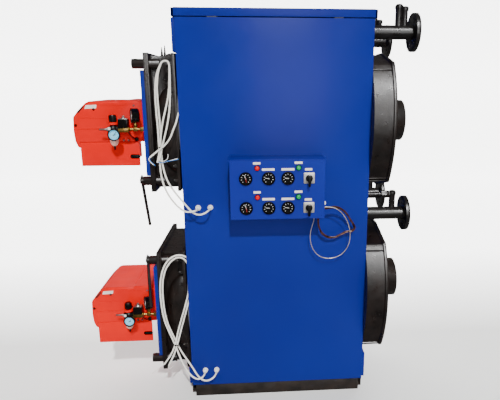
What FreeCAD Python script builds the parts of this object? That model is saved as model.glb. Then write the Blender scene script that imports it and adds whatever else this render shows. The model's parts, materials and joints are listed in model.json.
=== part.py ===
import FreeCAD, Part
import math
import os

# Twin-deck hot-water boiler set: two horizontal fire-tube boilers, one over the other in a
# sheet-steel casing on a channel plinth. Millimetres. +X runs to the flue end, -X to the
# burner end, -Y is the side with the control box, +Z is up. The origin is the centre of the
# underside of the plinth.

# ---- overall sizes ----
casing_length = 852.0
casing_depth = 520.0
panel_height = 1735.0
plinth_height = 65.0
sheet = 2.0
fit_gap = 0.3

# ---- plinth ----
rail_length = 824.0
rail_width = 30.0
rail_wall = 5.0
rail_inset = 6.0
crossbar_width = 40.0
crossbar_reach = 433.0

# ---- casing trays ----
panel_return = 20.0
tray_stand_off = 17.0
tray_corner = 20.0
tray_gap = 4.0
lid_overhang = 14.0
lid_corner = 12.0
lid_flange = 34.0
lid_gap = 4.0

# ---- inner frame ----
post_width = 40.0
post_depth = 20.0
post_offset = 270.0
saddle_thickness = 16.0
saddle_half_width = 150.0
saddle_rail_height = 40.0

# ---- pressure drums ----
drum_radius = 230.0
furnace_radius = 130.0
furnace_end = 250.0
upper_front_axis = 1355.0
lower_front_axis = 458.0
upper_rear_axis = 1351.0
lower_rear_axis = 510.0

# ---- front headers and doors ----
header_front = -554.0
header_half_width = 190.0
header_half_height = 292.0
header_wall = 6.0
rim_half_width = 250.0
rim_half_height = 302.0
rim_thickness = 9.0
tube_plate = 14.0
tube_plate_half_width = 240.0
header_depth = 104.0
door_plate_thickness = 12.0
door_cover_thickness = 18.0
door_cover_half_width = 246.0
door_cover_half_height = 230.0
lining_thickness = 50.0
lining_margin = 21.0
hinge_radius = 11.0
hinge_pin_radius = 6.0
hinge_offset = 12.0
hinge_spacing = 190.0
knuckle_length = 34.0
latch_height = 257.0
latch_radius = 21.0
latch_inset = 34.0
latch_reach = 620.0
latch_tail = 44.0
lever_radius = 7.0
lever_set_in = 7.5
upper_lever_reach = (0.0, 97.0, -233.0)
lower_lever_reach = (10.0, -46.0, -214.0)
lever_hub_radius = 13.0
lever_hub_length = 16.0

# ---- smoke boxes ----
smoke_length = 87.0
smoke_half_width = 316.0
smoke_side_half_height = 261.0
smoke_side_bow = 85.0
smoke_half_height = 312.0
smoke_top_half_width = 45.0
smoke_wall = 5.0
smoke_rim = 9.0
smoke_rim_thickness = 14.0
flue_radius = 100.0
flue_wall = 3.0
flue_length = 109.0

# ---- water pipes, DN50 ----
pipe_radius = 30.15
pipe_wall = 2.9
pipe_offset = 220.0
pipe_start = 300.0
pipe_face = 618.0
upper_pipe_height = 1748.0
lower_pipe_height = 927.0
pipe_hole_clearance = 3.0
flange_radius = 82.5
flange_thickness = 18.0
flange_bolt_circle = 62.5
flange_hole_radius = 9.0
flange_hole_count = 4
upper_sockets = ((540.0, 15.5, 113.0), (567.0, 12.5, 104.0))
lower_sockets = ((550.0, 15.0, 106.0),)
link_rise = 92.0
link_radius = 11.0
link_nut_radius = 17.0
link_nut_span = (496.0, 532.0)

# ---- burners ----
burner_half_width = 160.0
blast_tube_radius = 57.0
blast_tube_wall = 4.0
blast_tube_end = -400.0
blast_hole_clearance = 4.0
burner_flange_thickness = 20.0
hood_edge = 9.0
fitting_line_out = 50.0
fitting_line_drop = 24.0

# ---- control box ----
box_left = -208.0
box_right = 204.0
box_bottom = 951.0
box_top = 1214.0
box_depth = 124.0
box_edge = 3.0
gauge_columns = (-139.0, -41.0, 42.5)
switch_column = 134.0
lamp_columns = (-89.5, 88.5)
row_heights = (1133.0, 1002.5)
lamp_rise = (45.5, 48.5)
gauge_radius = 29.0
gauge_depth = 9.0
lamp_radius = 11.0
lamp_depth = 12.0
switch_plate = 48.0
switch_plate_depth = 5.0
knob_radius = 16.0
knob_depth = 22.0
knob_tail = 36.0

# ---- cable glands on the side panel ----
gland_columns = (-360.0, -305.0)
gland_rows = (978.0, 148.0)
gland_radius = 11.0
gland_depth = 20.0
box_gland_y = -318.0
box_gland_z = 1004.0
box_gland_length = 14.0

# ---- loose cables and capillaries ----
cable_diameter = 8.0
bundle_diameter = 11.0
capillary_diameter = 4.0
peg_radius = 8.0
peg_x = -470.0
peg_reach = 266.0
upper_peg_height = 1610.5
lower_peg_height = 722.0
cable_notch_low = 470.0
cable_notch_high = 775.0

# Routes were chosen by hand, from the gland to the free end. Both cables of a pair go up,
# round a peg on the header, back down to the tie, and end below it.
cable_routes = {
    "white_cable_upper_left": (
        (-360, -280, 978), (-360, -306, 978), (-382, -324, 975), (-412, -318, 974),
        (-446, -300, 994), (-482, -282, 1034), (-506, -268, 1080), (-518, -258, 1128),
        (-521, -256, 1190), (-520, -256, 1256), (-520, -254, 1338), (-524, -251, 1421),
        (-524, -249, 1500), (-515, -249, 1562), (-503, -249, 1592), (-486, -249, 1623),
        (-457, -249, 1623), (-458, -250, 1578), (-463, -251, 1500), (-476, -254, 1440),
        (-492, -260, 1385), (-505, -264, 1325), (-514, -265, 1262), (-520, -266, 1222),
        (-529, -264, 1190)),
    "white_cable_upper_right": (
        (-305, -280, 978), (-305, -310, 978), (-328, -326, 966), (-356, -318, 958),
        (-386, -306, 972), (-420, -294, 1012), (-458, -282, 1056), (-490, -270, 1104),
        (-505, -262, 1155), (-511, -258, 1205), (-511, -256, 1256), (-510, -250, 1338),
        (-513, -250, 1420), (-514, -258, 1500), (-508, -258, 1560), (-499, -258, 1592),
        (-485, -258, 1623), (-456, -258, 1623), (-455, -259, 1578), (-457, -260, 1500),
        (-462, -262, 1430), (-474, -266, 1362), (-491, -270, 1300), (-505, -266, 1256),
        (-511, -270, 1226), (-519, -273, 1200)),
    "white_cable_from_casing": (
        (-431, -234, 1402), (-432, -258, 1388), (-438, -274, 1360), (-452, -279, 1330),
        (-463, -281, 1300), (-486, -281, 1270), (-511, -277, 1250), (-536, -274, 1232),
        (-559, -272, 1213)),
    "white_cable_lower_left": (
        (-360, -280, 148), (-360, -308, 148), (-382, -324, 138), (-410, -318, 142),
        (-440, -304, 168), (-468, -288, 215), (-488, -273, 262), (-503, -262, 300),
        (-521, -262, 350), (-540, -263, 405), (-551, -264, 468), (-555, -264, 535),
        (-554, -264, 605), (-544, -262, 665), (-524, -257, 712), (-494, -252, 742),
        (-458, -249, 750), (-424, -247, 738), (-408, -246, 702), (-408, -246, 640),
        (-414, -246, 560), (-430, -250, 500), (-450, -254, 432), (-468, -258, 372),
        (-478, -267, 334), (-488, -276, 300), (-500, -284, 263), (-516, -285, 228),
        (-533, -283, 194)),
    "white_cable_lower_right": (
        (-305, -280, 148), (-305, -310, 148), (-328, -326, 135), (-358, -316, 122),
        (-390, -304, 137), (-420, -294, 190), (-450, -282, 232), (-475, -272, 270),
        (-491, -264, 304), (-510, -262, 350), (-529, -264, 404), (-540, -265, 468),
        (-544, -265, 535), (-543, -264, 603), (-534, -263, 658), (-516, -260, 700),
        (-490, -254, 729), (-458, -249, 740), (-430, -247, 722), (-420, -246, 688),
        (-418, -246, 636), (-424, -247, 562), (-441, -252, 500), (-461, -257, 436),
        (-479, -263, 378), (-489, -269, 336), (-497, -273, 300), (-513, -274, 262),
        (-534, -274, 226), (-556, -273, 196)),
}
bundle_route = (
    (204, -318, 980), (230, -318, 980), (264, -316, 986), (295, -312, 972), (320, -306, 946),
    (338, -298, 916), (354, -290, 893), (362, -287, 872), (347, -286, 858), (322, -286, 858),
    (296, -286, 844), (266, -287, 829), (234, -289, 832), (206, -293, 852), (191, -298, 884),
    (186, -302, 919), (186, -302, 951))
capillary_route = (
    (204, -333, 990), (230, -333, 990), (261, -332, 984), (289, -326, 962), (311, -319, 932),
    (326, -313, 900), (335, -308, 868), (337, -304, 837), (334, -302, 806), (322, -300, 776),
    (302, -299, 752), (276, -298, 737), (248, -298, 731), (220, -298, 733), (194, -298, 744),
    (172, -299, 766), (157, -299, 796), (150, -300, 830), (152, -300, 866), (161, -301, 898),
    (168, -302, 925), (168, -302, 951))

half_length = casing_length / 2
half_depth = casing_depth / 2
panel_bottom = plinth_height
panel_top = plinth_height + panel_height
lid_bottom = panel_top + lid_gap
lid_top = lid_bottom + lid_flange
door_back = header_front
door_front = header_front - door_plate_thickness
cover_front = door_front - door_cover_thickness
hinge_x = header_front - hinge_offset / 2
hinge_y = rim_half_width + hinge_offset
latch_y = -(rim_half_width - latch_inset)
smoke_start = half_length
smoke_end = smoke_start + smoke_length
decks = (
    ("upper", upper_front_axis, upper_rear_axis, upper_pipe_height),
    ("lower", lower_front_axis, lower_rear_axis, lower_pipe_height),
)

X_AXIS = FreeCAD.Vector(1, 0, 0)
Y_AXIS = FreeCAD.Vector(0, 1, 0)
Z_AXIS = FreeCAD.Vector(0, 0, 1)


def vec(x, y, z):
    return FreeCAD.Vector(x, y, z)


def block(low, high):
    """A box between two opposite corners."""
    size = [b - a for a, b in zip(low, high)]
    return Part.makeBox(size[0], size[1], size[2], vec(*low))


def rod(start, axis, radius, length):
    return Part.makeCylinder(radius, length, vec(*start), axis)


def tube(start, axis, radius, wall, length):
    return rod(start, axis, radius, length).cut(rod(start, axis, radius - wall, length))


def fuse(first, *others):
    """One solid from pieces that are welded or moulded together."""
    return first.fuse(list(others)).removeSplitter() if others else first


def prism(points, direction):
    """A closed outline of straight edges, pushed along a vector."""
    corners = [vec(*p) for p in points]
    return Part.Face(Part.makePolygon(corners + corners[:1])).extrude(direction)


def mirrored(shape, normal):
    return shape.mirror(vec(0, 0, 0), normal)


def save(name, *solids):
    """One sub-part to one STEP file; like pieces that don't touch share it."""
    shape = solids[0] if len(solids) == 1 else Part.makeCompound(list(solids))
    shape.exportStep("parts/" + name + ".step")


def rounded(shape, radius, keep):
    """Round the edges whose midpoint passes a test."""
    edges = [e for e in shape.Edges if keep(e.valueAt((e.FirstParameter + e.LastParameter) / 2), e)]
    return shape.makeFillet(radius, edges)


def cord(name, diameter, route):
    """A round cord: straight runs joined by tangent arcs as large as the runs allow."""
    points = [vec(*p) for p in route]
    start = points[0]
    edges = []
    radii = []
    for before, point, after in zip(points, points[1:], points[2:]):
        inward = point - before
        outward = after - point
        shorter = min(inward.Length, outward.Length)
        half_turn = inward.getAngle(outward) / 2
        radii.append(0.45 * shorter / math.tan(half_turn))
        inward.normalize()
        outward.normalize()
        arc_start = point - inward * (0.45 * shorter)
        arc_end = point + outward * (0.45 * shorter)
        toward = outward - inward
        toward.normalize()
        sagitta = radii[-1] * (1 / math.cos(half_turn) - 1)
        edges.append(Part.LineSegment(start, arc_start).toShape())
        edges.append(Part.Arc(arc_start, point + toward * sagitta, arc_end).toShape())
        start = arc_end
    edges.append(Part.LineSegment(start, points[-1]).toShape())
    path = Part.Wire(edges)
    section = Part.Wire(Part.makeCircle(diameter / 2, points[0], points[1] - points[0]))
    solid = path.makePipeShell([section], True, True)
    expected = math.pi * diameter ** 2 / 4 * path.Length
    print(name, "length", round(path.Length), "smallest radius", round(min(radii)),
          "volume ratio", round(solid.Volume / expected, 4))
    save(name, solid)


# ---------------------------------------------------------------- plinth
def plinth():
    outer = half_depth - rail_inset
    rails = []
    for side in (-1, 1):
        web = block((-rail_length / 2, -outer, 0), (rail_length / 2, -outer + rail_wall, plinth_height))
        low = block((-rail_length / 2, -outer, 0), (rail_length / 2, -outer + rail_width, rail_wall))
        high = low.translated(vec(0, 0, plinth_height - rail_wall))
        rail = fuse(web, low, high)
        rails.append(rail if side < 0 else mirrored(rail, Y_AXIS))
    save("plinth_side_rails", *rails)

    inner = outer - rail_width
    bars = []
    for x in (-crossbar_reach, -post_offset - crossbar_width / 2, -crossbar_width / 2,
              post_offset - crossbar_width / 2, crossbar_reach - crossbar_width):
        web_x = x if x < 0 else x + crossbar_width - rail_wall
        web = block((web_x, -inner, 0), (web_x + rail_wall, inner, plinth_height))
        low = block((x, -inner, 0), (x + crossbar_width, inner, rail_wall))
        high = low.translated(vec(0, 0, plinth_height - rail_wall))
        bars.append(fuse(web, low, high))
    save("plinth_crossbars", *bars)


# ---------------------------------------------------------------- casing
def pipe_holes(x0, x1):
    holes = []
    for deck, front, rear, height in decks:
        for y in (-pipe_offset, pipe_offset):
            holes.append(rod((x0, y, height), X_AXIS, pipe_radius + pipe_hole_clearance, x1 - x0))
    return holes


def folded_tray(low, high, open_side):
    """A folded tray: an outer box less an inner one that is open on one side."""
    inner_low = [v + sheet for v in low]
    inner_high = [v - sheet for v in high]
    axis = "xyz".index(open_side[1])
    if open_side[0] == "+":
        inner_high[axis] = high[axis] + sheet
    else:
        inner_low[axis] = low[axis] - sheet
    return block(low, high).cut(block(inner_low, inner_high))


def casing():
    near = folded_tray((-half_length, -half_depth, panel_bottom),
                       (half_length, -half_depth + panel_return, panel_top), "+y")
    near = near.cut(pipe_holes(half_length - 2 * sheet, half_length + sheet))
    notch = post_width / 2 + fit_gap
    for x in (-post_offset, post_offset):
        near = near.cut(block((x - notch, sheet - half_depth, panel_bottom),
                              (x + notch, panel_return - half_depth, panel_bottom + sheet)))
        near = near.cut(block((x - notch, sheet - half_depth, panel_top - sheet),
                              (x + notch, panel_return - half_depth, panel_top)))
    far = mirrored(near, Y_AXIS)
    near = near.cut(block((-half_length, sheet - half_depth, cable_notch_low),
                          (sheet - half_length, panel_return - half_depth, cable_notch_high)))
    save("near_side_panel", near)
    save("far_side_panel", far)

    tray_half = half_depth - tray_corner
    flush_half = half_depth - panel_return - fit_gap
    header_top = rim_half_height + tray_gap
    smoke_top = smoke_half_height + tray_gap

    def proud(side, bottom, top):
        x = sorted((side * half_length, side * (half_length + tray_stand_off)))
        return folded_tray((x[0], -tray_half, bottom), (x[1], tray_half, top), "+x" if side < 0 else "-x")

    def flush(side, bottom, top):
        x = sorted((side * half_length, side * (half_length - panel_return)))
        return folded_tray((x[0], -flush_half, bottom), (x[1], flush_half, top), "+x" if side < 0 else "-x")

    save("left_end_trays",
         proud(-1, upper_front_axis + header_top, panel_top),
         flush(-1, lower_front_axis + header_top, upper_front_axis - header_top),
         proud(-1, panel_bottom, lower_front_axis - header_top))
    holes = pipe_holes(half_length - panel_return - sheet, half_length + sheet)
    save("right_end_trays",
         flush(1, upper_rear_axis + smoke_top, panel_top).cut(holes),
         flush(1, lower_rear_axis + smoke_top, upper_rear_axis - smoke_top).cut(holes),
         proud(1, panel_bottom, lower_rear_axis - smoke_top))

    long_half = half_length + lid_overhang
    wide_half = half_depth + sheet
    lid = folded_tray((-long_half, -wide_half, lid_bottom), (long_half, wide_half, lid_top), "-z")
    for sx in (-1, 1):
        for sy in (-1, 1):
            x = sorted((sx * long_half, sx * (long_half - lid_corner)))
            y = sorted((sy * wide_half, sy * (wide_half - lid_corner)))
            lid = lid.cut(block((x[0], y[0], lid_bottom), (x[1], y[1], lid_top)))
    save("lid", lid)


# ---------------------------------------------------------------- inner frame
def inner_frame():
    posts = []
    rails = []
    rail_top = upper_front_axis - drum_radius - 25.0
    outer = half_depth - sheet
    for x in (-post_offset, post_offset):
        for y in (-outer, outer - post_depth):
            posts.append(block((x - post_width / 2, y, plinth_height),
                               (x + post_width / 2, y + post_depth, lid_top - sheet)))
        rails.append(block((x - post_width / 2, -outer + post_depth, rail_top - saddle_rail_height),
                           (x + post_width / 2, outer - post_depth, rail_top)))
    save("frame_posts", *posts)

    saddles = []
    for x in (-post_offset, post_offset):
        for axis, base in ((upper_front_axis, rail_top), (lower_front_axis, plinth_height)):
            plate = block((x - saddle_thickness / 2, -saddle_half_width, base),
                          (x + saddle_thickness / 2, saddle_half_width, axis - drum_radius / 2))
            seat = rod((x - saddle_thickness, 0, axis), X_AXIS, drum_radius + fit_gap, 2 * saddle_thickness)
            saddles.append(plate.cut(seat))
    save("drum_saddles", *(rails + saddles))


# ---------------------------------------------------------------- boilers
def drum(deck, axis):
    start = header_front + header_depth + tube_plate
    shell = rod((start, 0, axis), X_AXIS, drum_radius, smoke_start - start)
    furnace = rod((start, 0, axis), X_AXIS, furnace_radius, furnace_end - start)
    save(deck + "_drum", shell.cut(furnace))


def hinge_heights(axis):
    return (axis - hinge_spacing, axis + hinge_spacing)


def front_header(deck, axis, peg_height):
    """Welded box with a rim for the door, the tube plate behind, hinge lugs, latch tails and a peg."""
    back = header_front + header_depth
    wide = header_half_width
    high = header_half_height
    body = block((header_front, -wide, axis - high), (back, wide, axis + high))
    body = body.cut(block((header_front, -wide + header_wall, axis - high + header_wall),
                          (back, wide - header_wall, axis + high - header_wall)))
    rim = block((header_front, -rim_half_width, axis - rim_half_height),
                (header_front + rim_thickness, rim_half_width, axis + rim_half_height))
    rim = rim.cut(block((header_front, -wide + header_wall, axis - high + header_wall),
                        (header_front + rim_thickness, wide - header_wall, axis + high - header_wall)))
    plate = block((back, -tube_plate_half_width, axis - rim_half_height),
                  (back + tube_plate, tube_plate_half_width, axis + rim_half_height))
    plate = plate.cut(rod((back, 0, axis), X_AXIS, furnace_radius, tube_plate))
    pieces = [rim, plate]
    for z in hinge_heights(axis):
        lug_top = z - fit_gap / 2
        barrel = rod((hinge_x, hinge_y, lug_top - knuckle_length), Z_AXIS, hinge_radius, knuckle_length)
        pin = rod((hinge_x, hinge_y, lug_top), Z_AXIS, hinge_pin_radius, knuckle_length - 4)
        arm = block((header_front, rim_half_width - 6, lug_top - knuckle_length),
                    (header_front + rim_thickness, hinge_y, lug_top))
        pieces += [barrel, pin, arm]
    for side in (-1, 1):
        pieces.append(rod((header_front + rim_thickness, latch_y, axis + side * latch_height),
                          X_AXIS, latch_radius, latch_tail))
    pieces.append(rod((peg_x, header_wall - header_half_width, peg_height), -Y_AXIS, peg_radius,
                      peg_reach + header_wall - header_half_width))
    save(deck + "_front_header", fuse(body, *pieces))


def smoke_section(x, grow, length):
    """The smoke box's section with bowed sides and a shallow roof, grown by a margin and pushed along X."""
    wide = smoke_half_width + grow
    corner = wide - smoke_side_bow
    side = smoke_side_half_height + grow
    high = smoke_half_height + grow
    top = smoke_top_half_width
    corners = [(-corner, side), (-top, high), (top, high), (corner, side)]
    edges = [Part.makeLine(vec(x, *a), vec(x, *b)) for a, b in zip(corners, corners[1:])]
    edges.append(Part.Arc(vec(x, corner, side), vec(x, wide, 0), vec(x, corner, -side)).toShape())
    under = [(y, -z) for y, z in reversed(corners)]
    edges += [Part.makeLine(vec(x, *a), vec(x, *b)) for a, b in zip(under, under[1:])]
    edges.append(Part.Arc(vec(x, -corner, -side), vec(x, -wide, 0), vec(x, -corner, side)).toShape())
    return Part.Face(Part.Wire(edges)).extrude(X_AXIS * length)


def smoke_box(deck, axis):
    """Box with bowed sides, a rimmed end plate and the round flue spigot."""
    outer = smoke_section(smoke_start, 0.0, smoke_length)
    inner = smoke_section(smoke_start + smoke_wall, -smoke_wall, smoke_length - smoke_wall)
    end_plate = smoke_section(smoke_end, smoke_rim, smoke_rim_thickness)
    spigot_start = smoke_end + smoke_rim_thickness
    spigot = tube((spigot_start, 0, 0), X_AXIS, flue_radius, flue_wall, flue_length)
    hole = rod((smoke_end, 0, 0), X_AXIS, flue_radius - flue_wall, smoke_rim_thickness)
    box = fuse(outer.cut(inner), end_plate.cut(hole), spigot)
    save(deck + "_smoke_box", box.translated(vec(0, 0, axis)))


def water_pipe(y, height, axis, sockets):
    """Flanged pipe with sensor sockets on top and a branch back to its drum."""
    length = pipe_face - pipe_start
    solid = rod((pipe_start, y, height), X_AXIS, pipe_radius, length)
    flange = rod((pipe_face - flange_thickness, y, height), X_AXIS, flange_radius, flange_thickness)
    solid = fuse(solid, flange)
    for x, radius, rise in sockets:
        solid = solid.fuse(rod((x, y, height), Z_AXIS, radius, rise))
        cap = rod((x, y, height + rise - 14), Z_AXIS, radius + 3, 10)
        solid = solid.fuse(cap)
    toward = vec(0, -y, axis - height)
    reach = toward.Length - drum_radius - fit_gap
    toward.normalize()
    branch = Part.makeCylinder(pipe_radius, reach, vec(pipe_start + pipe_radius, y, height), toward)
    solid = solid.fuse(branch)
    solid = solid.cut(rod((pipe_start + 2 * pipe_radius + 4, y, height), X_AXIS, pipe_radius - pipe_wall,
                          length))
    for k in range(flange_hole_count):
        turn = math.radians(45 + 360 / flange_hole_count * k)
        hole = rod((pipe_face - flange_thickness, y + flange_bolt_circle * math.cos(turn),
                    height + flange_bolt_circle * math.sin(turn)), X_AXIS, flange_hole_radius,
                   flange_thickness)
        solid = solid.cut(hole)
    return solid


def link_pipe(height):
    """Small pipe with a union nut, from the lower near socket to the cabinet's end."""
    socket_x = lower_sockets[0][0]
    start = (half_length + fit_gap, -pipe_offset, height + link_rise)
    run = rod(start, X_AXIS, link_radius, socket_x - half_length - fit_gap)
    low, high = link_nut_span
    return run.fuse(rod((low, -pipe_offset, height + link_rise), X_AXIS, link_nut_radius, high - low))


def pipes(deck, height, axis):
    sockets = upper_sockets if deck == "upper" else lower_sockets
    near = water_pipe(-pipe_offset, height, axis, sockets)
    if deck == "lower":
        near = near.fuse(link_pipe(height))
    save(deck + "_pipes", near, water_pipe(pipe_offset, height, axis, sockets))


# ---------------------------------------------------------------- doors
def door(deck, axis, lever_at):
    wide = rim_half_width
    high = rim_half_height
    tube_hole = blast_tube_radius + blast_hole_clearance
    plate = block((door_front, -wide, axis - high), (door_back, wide, axis + high))
    plate = plate.cut(rod((door_front, 0, axis), X_AXIS, tube_hole, door_plate_thickness))
    pieces = []
    for z in hinge_heights(axis):
        base = z + fit_gap / 2
        barrel = rod((hinge_x, hinge_y, base), Z_AXIS, hinge_radius, knuckle_length)
        arm = block((door_front, wide - 6, base), (hinge_x + 2, hinge_y, base + knuckle_length))
        pieces += [barrel, arm]
    for side in (-1, 1):
        reach = latch_reach if side != lever_at else latch_reach - lever_hub_length
        pieces.append(rod((-reach, latch_y, axis + side * latch_height), X_AXIS, latch_radius,
                          reach + door_front))
    plate = fuse(plate, *pieces)
    for z in hinge_heights(axis):
        bore = rod((hinge_x, hinge_y, z + fit_gap / 2), Z_AXIS, hinge_pin_radius + fit_gap,
                   knuckle_length)
        plate = plate.cut(bore)
    save(deck + "_door_plate", plate)

    cover = block((cover_front, -door_cover_half_width, axis - door_cover_half_height),
                  (door_front, door_cover_half_width, axis + door_cover_half_height))
    cover = cover.cut(rod((cover_front, 0, axis), X_AXIS, tube_hole, door_cover_thickness))
    save(deck + "_door_cover", cover)

    lining = block((door_back, -header_half_width + header_wall + lining_margin,
                    axis - header_half_height + header_wall + lining_margin),
                   (door_back + lining_thickness, header_half_width - header_wall - lining_margin,
                    axis + header_half_height - header_wall - lining_margin))
    lining = lining.cut(rod((door_back, 0, axis), X_AXIS, tube_hole, lining_thickness))
    save(deck + "_door_lining", lining)


def lever(deck, axis, side, reach):
    """Clamp lever on the end of a latch boss: a hub and a round bar that hangs down and leans."""
    height = axis + side * latch_height
    hub = rod((-latch_reach, latch_y, height), X_AXIS, lever_hub_radius, lever_hub_length)
    pivot = vec(-latch_reach + lever_set_in, latch_y, height)
    bar = Part.makeCylinder(lever_radius, vec(*reach).Length, pivot, vec(*reach))
    tip = Part.makeSphere(lever_radius, pivot + vec(*reach))
    save(deck + "_latch_lever", fuse(hub, bar, tip))


# ---------------------------------------------------------------- burners
def burner(deck, axis):
    flange_x = cover_front - burner_flange_thickness
    half = burner_half_width
    flange = block((flange_x, -half, axis - 44), (cover_front, half, axis + 90))
    blast = rod((cover_front, 0, axis), X_AXIS, blast_tube_radius, blast_tube_end - cover_front)
    bore = rod((flange_x, 0, axis), X_AXIS, blast_tube_radius - blast_tube_wall,
               blast_tube_end - flange_x)
    save(deck + "_burner_flange", fuse(flange, blast).cut(bore))

    # The hood's side outline, from the door out along the top and back along the seam.
    hood_points = ((0, -84), (0, 84), (-26, 100), (-92, 101), (-101, 94), (-108, 97), (-234, 97),
                   (-250, 90), (-284, 58), (-307, 30), (-310, -40), (-306, -84), (-296, -108),
                   (-288, -112), (-288, -84))
    hood = prism([(flange_x + x, -half, axis + z) for x, z in hood_points], Y_AXIS * (2 * half))

    def hood_rim(point, edge):
        on_side = abs(abs(point.y) - half) < 1e-6
        top = point.z > axis - 80
        return on_side and top and point.x < flange_x - 30 and point.x > flange_x - 300

    save(deck + "_burner_hood", rounded(hood, hood_edge, hood_rim))

    base_low = (flange_x - 288, -half + 4, axis - 205)
    base_high = (flange_x - 6, half - 4, axis - 84)
    base = block(base_low, base_high)

    def base_corner(point, edge):
        return abs(point.z - (base_low[2] + base_high[2]) / 2) < 1e-6

    save(deck + "_burner_base", rounded(base, hood_edge, base_corner))


def burner_fittings(deck, axis):
    """Compressed-air train on the near side: barb, filter-regulator, solenoid, manometer, pipe."""
    flange_x = cover_front - burner_flange_thickness
    y = -burner_half_width - fitting_line_out
    z = axis - fitting_line_drop
    x_regulator = flange_x - 119
    x_solenoid = flange_x - 73
    x_gauge = flange_x - 22

    body = block((x_regulator - 20, y - 20, z - 18), (x_regulator + 20, y + 20, z + 22))
    collar = rod((x_regulator, y, z + 22), Z_AXIS, 22, 8)
    cap = rod((x_regulator, y, z + 30), Z_AXIS, 17, 34)
    bowl = Part.makeCone(11, 19, 50, vec(x_regulator, y, z - 68), Z_AXIS)
    drain = rod((x_regulator, y, z - 82), Z_AXIS, 5, 14)
    dial = rod((x_regulator + 7, y - 32, z - 22), Y_AXIS, 25, 14)
    stand = block((x_regulator - 12, y + 18, z - 10), (x_regulator + 12, -burner_half_width, z + 10))
    save(deck + "_air_regulator", fuse(body, collar, cap, bowl, drain, dial, stand))

    valve = block((x_solenoid - 23, y - 13, z - 13), (x_solenoid + 23, y + 13, z + 8))
    coil = block((x_solenoid - 22, y - 18, z + 8), (x_solenoid + 22, y + 18, z + 48))
    dome = Part.makeCone(19, 8, 8, vec(x_solenoid, y, z + 48), Z_AXIS)
    nut = rod((x_solenoid, y, z + 56), Z_AXIS, 6, 6)
    save(deck + "_solenoid_valve", fuse(valve, coil, dome, nut))

    face = rod((x_gauge - 17, y, z + 60), X_AXIS, 33, 34)
    stem = rod((x_gauge, y, z + 8.5), Z_AXIS, 7, 22)
    save(deck + "_manometer", fuse(face, stem))

    barb = rod((x_regulator - 62, y, z), X_AXIS, 7, 42)
    link = rod((x_regulator + 20, y, z), X_AXIS, 8, x_solenoid - 23 - x_regulator - 20)
    run = rod((x_solenoid + 23, y, z), X_AXIS, 7, x_gauge + 22 - x_solenoid - 23)
    tee = block((x_gauge - 9, y - 8.5, z - 8.5), (x_gauge + 9, y + 8.5, z + 8.5))
    elbow = block((x_gauge + 22, y - 9, z - 9), (x_gauge + 40, y + 9, z + 9))
    tail = rod((x_gauge + 31, y, z), Y_AXIS, 7, fitting_line_out)
    save(deck + "_air_line", barb, link, fuse(run, tee, elbow, tail))


# ---------------------------------------------------------------- control box
def control_box():
    near = -half_depth - box_depth
    body = block((box_left, near, box_bottom), (box_right, -half_depth, box_top))
    save("control_box", rounded(body, box_edge, lambda p, e: p.y < -half_depth - 1))

    gauges = [rod((x, near - gauge_depth, z), Y_AXIS, gauge_radius, gauge_depth)
              for z in row_heights for x in gauge_columns]
    save("gauge_bodies", *gauges)
    for name, x in (("red_lamps", lamp_columns[0]), ("green_lamps", lamp_columns[1])):
        lamps = [rod((x, near - lamp_depth, z + rise), Y_AXIS, lamp_radius, lamp_depth)
                 for z, rise in zip(row_heights, lamp_rise)]
        save(name, *lamps)

    plates = []
    half = switch_plate / 2
    for z in row_heights:
        plates.append(block((switch_column - half, near - switch_plate_depth, z - half),
                            (switch_column + half, near, z + half)))
    save("switch_plates", *plates)
    for deck, z in zip(("upper", "lower"), row_heights):
        back = near - switch_plate_depth - fit_gap
        disc = rod((switch_column, back, z), -Y_AXIS, knob_radius, knob_depth - 8)
        grip = block((switch_column - 5, back - knob_depth, z - knob_tail),
                     (switch_column + 5, back - 2, z + knob_radius - 1))
        save(deck + "_switch_knob", fuse(disc, grip))


def cable_glands():
    glands = []
    for z in gland_rows:
        for x in gland_columns:
            glands.append(rod((x, -half_depth, z), -Y_AXIS, gland_radius, gland_depth))
    glands.append(rod((box_right, box_gland_y, box_gland_z), X_AXIS, gland_radius, box_gland_length))
    save("cable_glands", *glands)


def main():
    os.makedirs("parts", exist_ok=True)
    plinth()
    casing()
    inner_frame()
    for deck, front, rear, height in decks:
        drum(deck, front)
        front_header(deck, front, upper_peg_height if deck == "upper" else lower_peg_height)
        smoke_box(deck, rear)
        pipes(deck, height, front)
        burner(deck, front)
        burner_fittings(deck, front)
    door("upper", upper_front_axis, -1)
    door("lower", lower_front_axis, 1)
    lever("upper", upper_front_axis, -1, upper_lever_reach)
    lever("lower", lower_front_axis, 1, lower_lever_reach)
    control_box()
    cable_glands()
    for name, route in cable_routes.items():
        cord(name, cable_diameter, route)
    cord("sensor_bundle", bundle_diameter, bundle_route)
    cord("sensor_capillary", capillary_diameter, capillary_route)


main()
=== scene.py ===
import bmesh
import bpy
import json
import math
from mathutils import Matrix, Vector

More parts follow.
